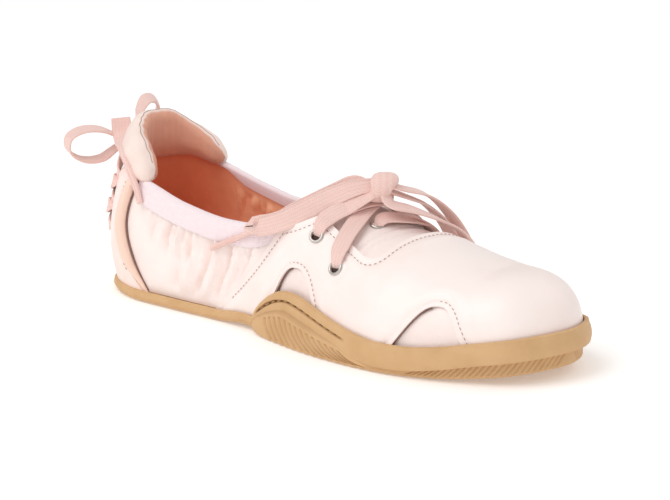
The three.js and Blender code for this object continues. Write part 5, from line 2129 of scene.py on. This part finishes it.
@dataclass
class VampOverlay:
    """Second layer over the forefoot, with stitched edges and arched cut-outs."""

    bench: Bench
    pattern: Pattern
    wall: float = 0.9
    stand_off: float = 0.35
    rows: int = 92
    columns: tuple = (68.0, 0, 0.95, 46)
    seam: float = 2.5
    seam_half: float = 1.5
    seam_depth: float = 0.3
    puff: float = 0.25
    puff_place: float = 3.4
    puff_half: float = 3.0
    lip: float = 0.8
    lip_reach: tuple = (0.8, 2.6)
    lip_start: tuple = (-9.0, -2.0)
    lip_end: tuple = (-6.0, 2.0)
    # Where the painted shadow lines behind the arches stop short of their tops, and how far they stand
    # off.
    edge_rest: float = 2.0
    edge_stand: float = 0.3
    thread_stand: float = 0.02
    throat_from: float = 124.0
    arch_from: float = -7.0
    rear_from: float = 0.16
    rear_steps: int = 40
    rear_bow: float = 1.25
    rear_inset: float = 1.2
    collar_seam: tuple = (117.0, 130.0, 16)

    def relief(self, points: Array, inside: Array, turn: Array) -> Array:
        """Stitch troughs, and a folded lip behind each arch.

        Args:
            points: points on the last.
            inside: their distance inside the overlay's edge.
            turn: their turns.

        Returns:
            How far the overlay stands off the last at each point.
        """
        x = points[:, 0]
        trough = self.seam_depth * hump(inside, self.seam, self.seam_half)
        puff = self.puff * hump(inside, self.seam + self.puff_place, self.puff_half)
        rear = np.zeros_like(x)
        for start, top, _, _ in self.pattern.arches:
            begun = ease(x - start, *self.lip_start)
            rear += begun * (1.0 - ease(x - top, *self.lip_end))
        arch = self.pattern.arch_distance(points)
        lip = self.lip * (1.0 - ease(arch, *self.lip_reach)) * np.clip(rear, 0.0, 1.0)
        return self.stand_off - trough + puff + lip

    def build(self) -> None:
        """Makes the overlay, its stitching and dark tubes that paint the shadow under the lifted lips
        behind its arches.
        """
        turns = self.bench.last.columns(*self.columns)
        shares = np.linspace(0.0, 1.0, self.rows)
        piece = self.bench.drape("vamp_overlay_cloth", turns, shares, self.pattern.overlay, self.relief)
        self.bench.thicken(piece, self.wall, outward=True)
        self.bench.dress(piece, Finish.OVERLAY, Slot.OVERLAY, ["vamp_overlay"])
        seams, edges = self.seams(), self.edges()
        Stitching(self.bench).sew("overlay_stitches", seams, Finish.THREAD, Slot.OVERLAY)
        # Painted shadow: dark tubes under the lifted lips behind the arches.
        Edging(self.bench).lay("overlay_cut_edges", edges, Finish.EDGE, Slot.OVERLAY)

    def on_side(self, side: Side, x: Array, z: Array, offset: float) -> Spot:
        """Points on one side of the last, by X and height."""
        return self.bench.last.wall_spot(self.bench.last.turn_at(x, side), z, offset)

    def edges(self) -> list[Spot]:
        """Lines behind the arches for dark tubes that paint the shadow under the lifted lips."""
        rows = []
        for side in Side:
            for arch in self.pattern.arches:
                edge = self.pattern.arch(arch)[1:-1]
                edge = edge[edge[:, 0] < arch[1] - self.edge_rest]
                rows.append(self.on_side(side, *edge.T, self.stand_off + self.edge_stand))
        return rows

    def seams(self) -> list[Spot]:
        """Lines of stitches along throat, arches, rear edge and collar."""
        last, pattern = self.bench.last, self.pattern
        height = self.stand_off + self.wall + self.thread_stand
        throat = pattern.throat()
        line = set_right(throat, self.seam)[throat[:, 0] > self.throat_from]
        line = line[last.top(*line.T) < last.collar(line[:, 0]) - self.seam]
        rows = [last.over(*line.T, height)]
        bottom, top, tall = pattern.rear_edge
        share = np.linspace(self.rear_from, 1.0, self.rear_steps)
        bow = pattern.rear_bow * np.sin(np.pi * share) * self.rear_bow
        rear = blend(bottom, top, share) + bow + self.seam * self.rear_inset
        rear_z = blend(pattern.rear_foot(), tall, share)
        collar = np.linspace(*self.collar_seam)
        for side in Side:
            for arch in pattern.arches:
                edge = set_right(pattern.arch(arch)[1:-1], -self.seam)
                edge = edge[edge[:, 0] > arch[1] + self.arch_from]
                rows.append(self.on_side(side, *edge.T, height))
            rows.append(self.on_side(side, rear, rear_z, height))
            rows.append(self.on_side(side, collar, last.collar(collar) - self.seam, height))
        return rows


@dataclass
class Tongue:
    """Sheet under the throat, with two seams across its front."""

    bench: Bench
    depth: float = -1.9
    wall: float = 1.4
    edges: tuple = (
        (124.0, 12.0, 11.0), (129.0, 20.0, 18.0), (150.0, 29.0, 26.0),
        (176.0, 29.0, 27.0), (186.0, 22.0, 24.0),
    )
    seams: tuple = (154.5, 159.0)
    seam_slant: float = 0.2
    seam_pivot: float = -10.0
    groove: float = 0.4
    groove_half: float = 0.9
    puff: float = 0.3
    puff_place: float = -2.0
    puff_half: float = 2.0
    sag: float = 6.0
    sag_reach: tuple = (124.0, 141.0)
    steps: tuple = (90, 80)

    def build(self) -> None:
        """Makes the tongue."""
        x = np.linspace(self.edges[0][0], self.edges[-1][0], self.steps[0])[:, None]
        outer, inner = -Track(self.edges, 1)(x), Track(self.edges, 2)(x)
        y = blend(outer, inner, np.linspace(0.0, 1.0, self.steps[1])[None])
        along = np.broadcast_to(x, y.shape)
        lift = self.depth - self.sag * (1.0 - ease(along, *self.sag_reach))
        for seam in self.seams:
            gone = along - seam - self.seam_slant * (y - self.seam_pivot)
            lift = lift - self.groove * hump(gone, 0.0, self.groove_half)
            lift = lift + self.puff * hump(gone, self.puff_place, self.puff_half)
        points = self.bench.last.over(along, y, lift).at
        piece = self.bench.grid("tongue_cloth", points, np.stack([along, y], axis=-1) / CM)
        self.bench.thicken(piece, self.wall)
        self.bench.dress(piece, Finish.TONGUE, Slot.TONGUE, ["tongue"])


@dataclass
class HeelCounter:
    """Padded flap on one side of the heel, with a stuffed roll along its front edge."""

    bench: Bench
    side: Side
    heights: tuple = (4.6, 56.6)
    back_gap: float = 6.0
    back_search: tuple = (0.2, 400)
    wall: float = 0.5
    stand_off: float = 2.2
    front: tuple = ((2.0, 37.0), (18.0, 28.0), (36.0, 22.0), (50.0, 25.0), (60.0, 31.0))
    top_fade: float = 4.0
    roll: float = 2.6
    roll_turn: tuple = (-35.0, 228.0)
    roll_foot: float = 0.38
    roll_foot_reach: float = 16.0
    roll_top: float = 0.55
    roll_clear: float = 0.25
    roll_base: float = 0.1
    roll_sink: float = 0.85
    body_base: float = 0.15
    plump_edge: tuple = (-0.6, 1.8)
    plump_top: float = 0.35
    swell: float = 0.8
    swell_reach: float = 14.0
    peach_reach: float = 2.6
    peach_fade: float = 1.2
    seam_place: float = 1.9
    seam_stand: float = 0.55
    seam_rows: tuple = (10, -5)
    # Rows, size and stand-off of the dark tube that paints the shade in the front gap.
    shade_line_rows: tuple = (1, -4)
    shade_line_radius: float = 0.36
    shade_line_stand: float = 0.35
    body_steps: int = 40
    roll_steps: int = 26
    rows: int = 64

    def back(self, z: Array) -> Array:
        """Turns of the flap's rear edge, at a fixed distance from the middle of the heel."""
        reach, count = self.back_search
        lateral = self.side is Side.LATERAL
        ends = np.linspace(0.0, reach, count) if lateral else np.linspace(2.0, 2.0 - reach, count)
        wall = self.bench.last.wall
        return np.array([np.interp(self.back_gap, np.abs(wall(ends, h)[:, 1]), ends) for h in z])

    def build(self) -> None:
        """Makes the flap, its stitching and a dark tube that paints the shade in the gap in front of it.
        """
        last, word = self.bench.last, self.side.word
        low, high = self.heights
        z = np.linspace(low, high, self.rows)
        back, front = self.back(z), last.turn_at(Track(self.front)(z), self.side)
        width = np.abs(front - back) * last.half_length
        top = 1.0 - ease(z, high - self.top_fade, high)
        radius = self.roll * blend(self.roll_foot, 1.0, ease(z, low, low + self.roll_foot_reach))
        radius = radius * blend(self.roll_top, 1.0, top)
        share = np.linspace(0.0, 1.0, self.body_steps)[:, None]
        gone = blend(width[None], 2.0 * radius[None] + self.roll_clear, share)
        plump = self.stand_off * ease(width[None] - gone, *self.plump_edge)
        plump = plump * blend(self.plump_top, 1.0, top)[None]
        swell = self.swell * np.sin(np.pi * share) * ease(z, low, low + self.swell_reach)[None]
        angle = np.radians(np.linspace(*self.roll_turn, self.roll_steps))[:, None]
        gone = np.concatenate([gone, radius[None] * (1.0 + np.cos(angle))])
        roll = self.roll_base + radius[None] * (self.roll_sink + np.sin(angle))
        offset = np.concatenate([self.body_base + plump + swell * top[None], roll])
        turn = front[None] + (back - front)[None] * gone / width[None]
        height = np.broadcast_to(z[None], turn.shape)
        points = last.wall(turn, height, offset)
        peach = ease(radius[None] * self.peach_reach - gone, 0.0, self.peach_fade)
        uv = np.stack([turn * last.half_length, height], axis=-1) / CM
        order = slice(None, None, -1 if self.side is Side.MEDIAL else 1)
        piece = self.bench.grid(f"heel_counter_{word}_padded", points[order], uv[order])
        self.bench.mark(piece, self.bench.place(points), peach)
        self.bench.thicken(piece, self.wall)
        node = f"heel_counter_{word}"
        self.bench.dress(piece, Finish.COUNTER, Slot.OVERLAY, [node], SOFT_ANGLE)
        sewn, parted = slice(*self.seam_rows), slice(*self.shade_line_rows)
        seam = front + (back - front) * (2.0 * radius + self.seam_place) / width
        line = last.wall_spot(seam[sewn], z[sewn], self.stand_off + self.seam_stand)
        name = f"counter_stitches_{word}"
        Stitching(self.bench).sew(name, [line], Finish.THREAD, Slot.OVERLAY)
        # Painted shade: a dark tube along the gap in front of the flap.
        gap = last.wall_spot(front[parted], z[parted], self.shade_line_stand)
        name = f"counter_gap_{word}"
        Edging(self.bench, self.shade_line_radius).lay(name, [gap], Finish.EDGE, Slot.OVERLAY)


@dataclass
class CollarElastic:
    """Elastic tape folded over the top edge on one side."""

    bench: Bench
    side: Side
    drop: float = 8.5
    inside: float = 4.2
    wall: float = 0.8
    fit: float = 0.5
    lining: float = 1.6
    start: float = 27.0
    end: float = 115.0
    outer_face: tuple = ((-0.25, 1.0, 0.0), (0.1, 1.0, 0.8), (0.25, 0.55, 0.0), (0.0, 0.0, 0.0))
    inner_face: tuple = ((0.0, 0.0), (0.0, 0.5), (0.2, 1.0))
    fold_steps: int = 9
    fold_height: float = 0.8
    core: tuple = (0.4, -0.6)
    waves: tuple = ((0.12, 1.5, 0.0), (0.1, 0.83, 1.0))
    tuck: float = 0.25
    tuck_reach: tuple = (1.0, 6.0)
    inner_start: float = 0.15
    inner_grow: tuple = (32.0, 46.0)
    slant_start: float = 90.0
    lean: float = 0.81
    steps: int = 130

    def ring(self) -> Array:
        """Section of the tape, as distance from the last and from the top edge."""
        out, into = self.fit + self.wall, -self.lining - self.fit - self.wall
        middle, half = (out + into) / 2.0, (out - into) / 2.0
        angle = np.linspace(0.0, np.pi, self.fold_steps)[1:-1]
        fold = [middle + half * np.cos(angle), half * self.fold_height * np.sin(angle)]
        outer = [(out + bow, lift - self.drop * share) for bow, share, lift in self.outer_face]
        inner = [(into + bow, -self.inside * share) for bow, share in self.inner_face]
        wide, low = self.core
        core = [(middle - wide, low), (middle + wide, low)]
        core = [(into + self.wall, -self.inside), *core, (self.fit, -self.drop)]
        return np.concatenate([outer, np.stack(fold, axis=1), inner, core])

    def build(self) -> None:
        """Makes the tape."""
        last, ring, word = self.bench.last, self.ring(), self.side.word
        out, up = ring[None, :, 0], ring[None, :, 1]
        x = np.linspace(self.start, self.end, self.steps)[:, None]
        slant = self.lean * ease(x, self.slant_start, self.end)
        turn = last.turn_at(x + slant * up, self.side)
        grow = blend(self.inner_start, 1.0, ease(x, *self.inner_grow))
        low_inside = (out < -self.lining / 2.0) & (up < 0.0)
        height = last.collar(x) + np.where(low_inside, up * grow, up)
        from_end = np.minimum(self.end - x, x - self.start)
        tuck = blend(self.tuck, 1.0, ease(from_end, *self.tuck_reach))
        offset = np.where(out > 0.0, (out + ripple(x, self.waves)) * tuck, out)
        around = run_length(np.concatenate([ring, ring[:1]]))[:-1]
        uv = np.stack(np.broadcast_arrays(around[None], x), axis=-1) / CM
        rings = last.wall(turn, height, offset)
        piece = self.bench.tube(f"collar_elastic_{word}_tape", rings, uv)
        self.bench.dress(piece, Finish.ELASTIC, Slot.ELASTIC, [f"collar_elastic_{word}"])


@dataclass
class HeelPad:
    """Soft padded collar above the back of the heel."""

    bench: Bench
    peak: float = 21.5
    end: float = 10.5
    reach: float = 34.0
    ring: tuple = (
        (1.2, -0.02), (3.0, 0.2), (3.3, 0.52), (1.9, 0.84), (-1.4, 1.0), (-5.2, 0.97),
        (-7.9, 0.74), (-8.6, 0.38), (-6.8, 0.05), (-3.6, -0.08), (-1.2, -0.06),
    )
    ring_steps: int = 6
    steps: int = 130
    swell_power: float = 1.5
    top_wave: tuple = ((0.5, 23.0, 0.0),)
    round_end: float = 0.08
    end_size: float = 0.015
    pucker: float = 0.3
    pucker_pitch: float = 7.0
    pucker_drift: tuple = ((2.0, 19.0, 0.0),)
    pucker_rest: float = 0.5
    pucker_top: tuple = (0.98, 0.08)
    inside: tuple = (4.3, 5.6)
    fill: float = 0.7
    seam_radius: float = 0.2
    seam_rest: int = 3
    seam_place: float = -3.6
    seam_above: float = 0.5
    stitch_rest: int = 8
    stitch_height: float = 0.1
    stitch_stand: float = 2.8

    def build(self) -> None:
        """Makes the pad, the seam along its top and its edge stitching."""
        last = self.bench.last
        ring = smooth_path(self.ring, self.ring_steps, closed=True)
        first = float(last.turn_at(self.reach, Side.MEDIAL)) - 2.0
        final = float(last.turn_at(self.reach, Side.LATERAL))
        share = np.linspace(0.0, 1.0, self.steps)
        turn = blend(first, final, share)
        foot, _ = last.foot(turn)
        swell = np.cos((2.0 * share - 1.0) * np.pi / 2.0) ** self.swell_power
        tall = blend(self.end, self.peak, swell) + ripple(share, self.top_wave)
        base = last.collar(foot[:, 0]) + last.gap
        near = np.clip(np.minimum(share, 1.0 - share) / self.round_end, 0.0, 1.0)
        close = blend(self.end_size, 1.0, np.sqrt(1.0 - (1.0 - near) ** 2))
        middle = ring.mean(axis=0)
        section = middle + (ring - middle)[None] * close[:, None, None]
        phase = FULL_TURN * turn * last.half_length / self.pucker_pitch
        pucker = self.pucker * np.sin(phase + ripple(share, self.pucker_drift))
        gathered = hump(ring[:, 1], *self.pucker_top) * (ring[:, 0] < 0.0)
        gathered = blend(self.pucker_rest, 1.0, gathered)
        depth = section[..., 0] + pucker[:, None] * gathered[None]
        rings = last.wall(turn[:, None], base[:, None] + section[..., 1] * tall[:, None], depth)
        piece = self.bench.tube("heel_pad_stuffed", rings)
        peach = ease(-ring[:, 0], *self.inside)
        self.bench.mark(piece, self.bench.place(rings), np.broadcast_to(peach[None], rings.shape[:2]))
        self.bench.dress(piece, Finish.PAD, Slot.PAD, ["heel_pad"], SOFT_ANGLE)
        top = np.flatnonzero(ring[:, 1] >= self.seam_above)
        row = top[np.argmin(np.abs(ring[top, 0] - self.seam_place))]
        line = rings[self.seam_rest:-self.seam_rest, row]
        seam = Spot(line, np.broadcast_to(UP, line.shape))
        Edging(self.bench, self.seam_radius).lay("heel_pad_seam", [seam], Finish.THREAD, Slot.PAD)
        sewn = slice(self.stitch_rest, -self.stitch_rest)
        height = (base + self.stitch_height * tall)[sewn]
        line = last.wall_spot(turn[sewn], height, self.stitch_stand)
        Stitching(self.bench).sew("heel_pad_stitches", [line], Finish.THREAD, Slot.PAD)


class RingKind(NamedTuple):
    """Half sizes of a ring's opening and edge, how far it stands proud, and its finish."""

    bore: tuple
    edge: tuple
    height: float
    finish: Finish
    slot: Slot


@dataclass
class Rings:
    """Metal eyelets in the flaps and tongue, and the bound slits of the heel."""

    bench: Bench
    pattern: Pattern
    eyelet: RingKind = RingKind((2.15, 2.15), (3.45, 3.45), 0.95, Finish.METAL, Slot.METAL)
    slit: RingKind = RingKind((1.0, 2.4), (2.0, 3.7), 0.7, Finish.COUNTER, Slot.OVERLAY)
    flap_face: float = 1.3
    tongue_face: float = -1.75
    slit_face: float = 1.6
    sunk: float = 0.25
    sides: int = 40
    round_sides: int = 16
    hole_size: float = 1.15
    hole_height: float = 0.3
    hole_face: float = 0.5
    hole_steps: tuple = (20, 9)
    hole_pole: float = 0.06

    @staticmethod
    def lay(spot: Spot, across: Array, up: Array, out: Array) -> Array:
        """Points round a spot, by how far they lie across, up and out from it."""
        upright = unit(UP - spot.normal * spot.normal[2])
        sideways = np.cross(upright, spot.normal)
        moved = sideways * across[..., None] + upright * up[..., None]
        return spot.at + moved + spot.normal * np.broadcast_to(out, across.shape)[..., None]

    def ring(self, name: str, spot: Spot, kind: RingKind) -> None:
        """Makes one rounded ring.

        Args:
            name: the node that it stands for.
            spot: its middle and the way it faces.
            kind: its sizes and finish.
        """
        angle = np.linspace(0.0, FULL_TURN, self.sides + 1)[:, None]
        turn = circle(self.round_sides)[None]
        sizes = [((e + b) / 2.0, (e - b) / 2.0) for b, e in zip(kind.bore, kind.edge)]
        wide, tall = (middle + half * np.cos(turn) for middle, half in sizes)
        out = kind.height * blend(self.sunk, 1.0, np.sin(turn))
        rings = self.lay(spot, np.cos(angle) * wide, np.sin(angle) * tall, out)
        piece = self.bench.tube(f"{name}_ring", rings, capped=False)
        self.bench.dress(piece, kind.finish, kind.slot, [name], ROUND_ANGLE)

    def hole(self, name: str, spot: Spot, kind: RingKind) -> None:
        """Makes a dark body inside an eyelet or a slit, painted shade in the hole."""
        around, levels = self.hole_steps
        angle = circle(around)[None]
        polar = np.linspace(self.hole_pole, np.pi - self.hole_pole, levels)[:, None]
        wide, tall = (half * self.hole_size * np.sin(polar) for half in kind.bore)
        out = self.hole_height * np.cos(polar)
        rings = self.lay(spot, wide * np.cos(angle), tall * np.sin(angle), out)
        self.bench.dress(self.bench.tube(f"{name}_dark", rings), Finish.HOLE, kind.slot)

    def build(self) -> None:
        """Makes every ring."""
        over = self.bench.last.over
        for row, x, *sides in self.pattern.eyelets:
            for side, y in zip(Side, sides):
                name = f"front_eyelet_{side.word}_{row}"
                self.ring(name, over(x, y, self.flap_face), self.eyelet)
                self.hole(name, over(x, y, self.hole_face), self.eyelet)
        x, spread = self.pattern.tongue_eyelets
        for side in Side:
            spot = over(x, side.value * spread, self.tongue_face)
            self.ring(f"tongue_eyelet_{side.word}", spot, self.eyelet)
        for side in Side:
            for i, z in enumerate(self.pattern.slits, 1):
                spot = self.pattern.slit(side, z, self.slit_face)
                name = f"heel_slit_{side.word}_{i}"
                self.ring(name, spot, self.slit)
                self.hole(name, spot, self.slit)


def main() -> None:
    """Builds the shoe in order."""
    logging.basicConfig(level=logging.INFO, format="%(message)s")
    closet = Closet()
    last = Last()
    sole = Outsole(last)
    bench = Bench(last, closet, sole.shift())
    LOG.info("shift %s", np.round(bench.shift, 3))
    pattern = Pattern(last)
    Studio().build(closet)
    Laces(bench, pattern).build()
    sole.build(bench)
    Insole(bench).build()
    Upper(bench, pattern).build()
    VampOverlay(bench, pattern).build()
    Tongue(bench).build()
    for side in Side:
        HeelCounter(bench, side).build()
        CollarElastic(bench, side).build()
    HeelPad(bench).build()
    Rings(bench, pattern).build()


if __name__ == "__main__":
    main()
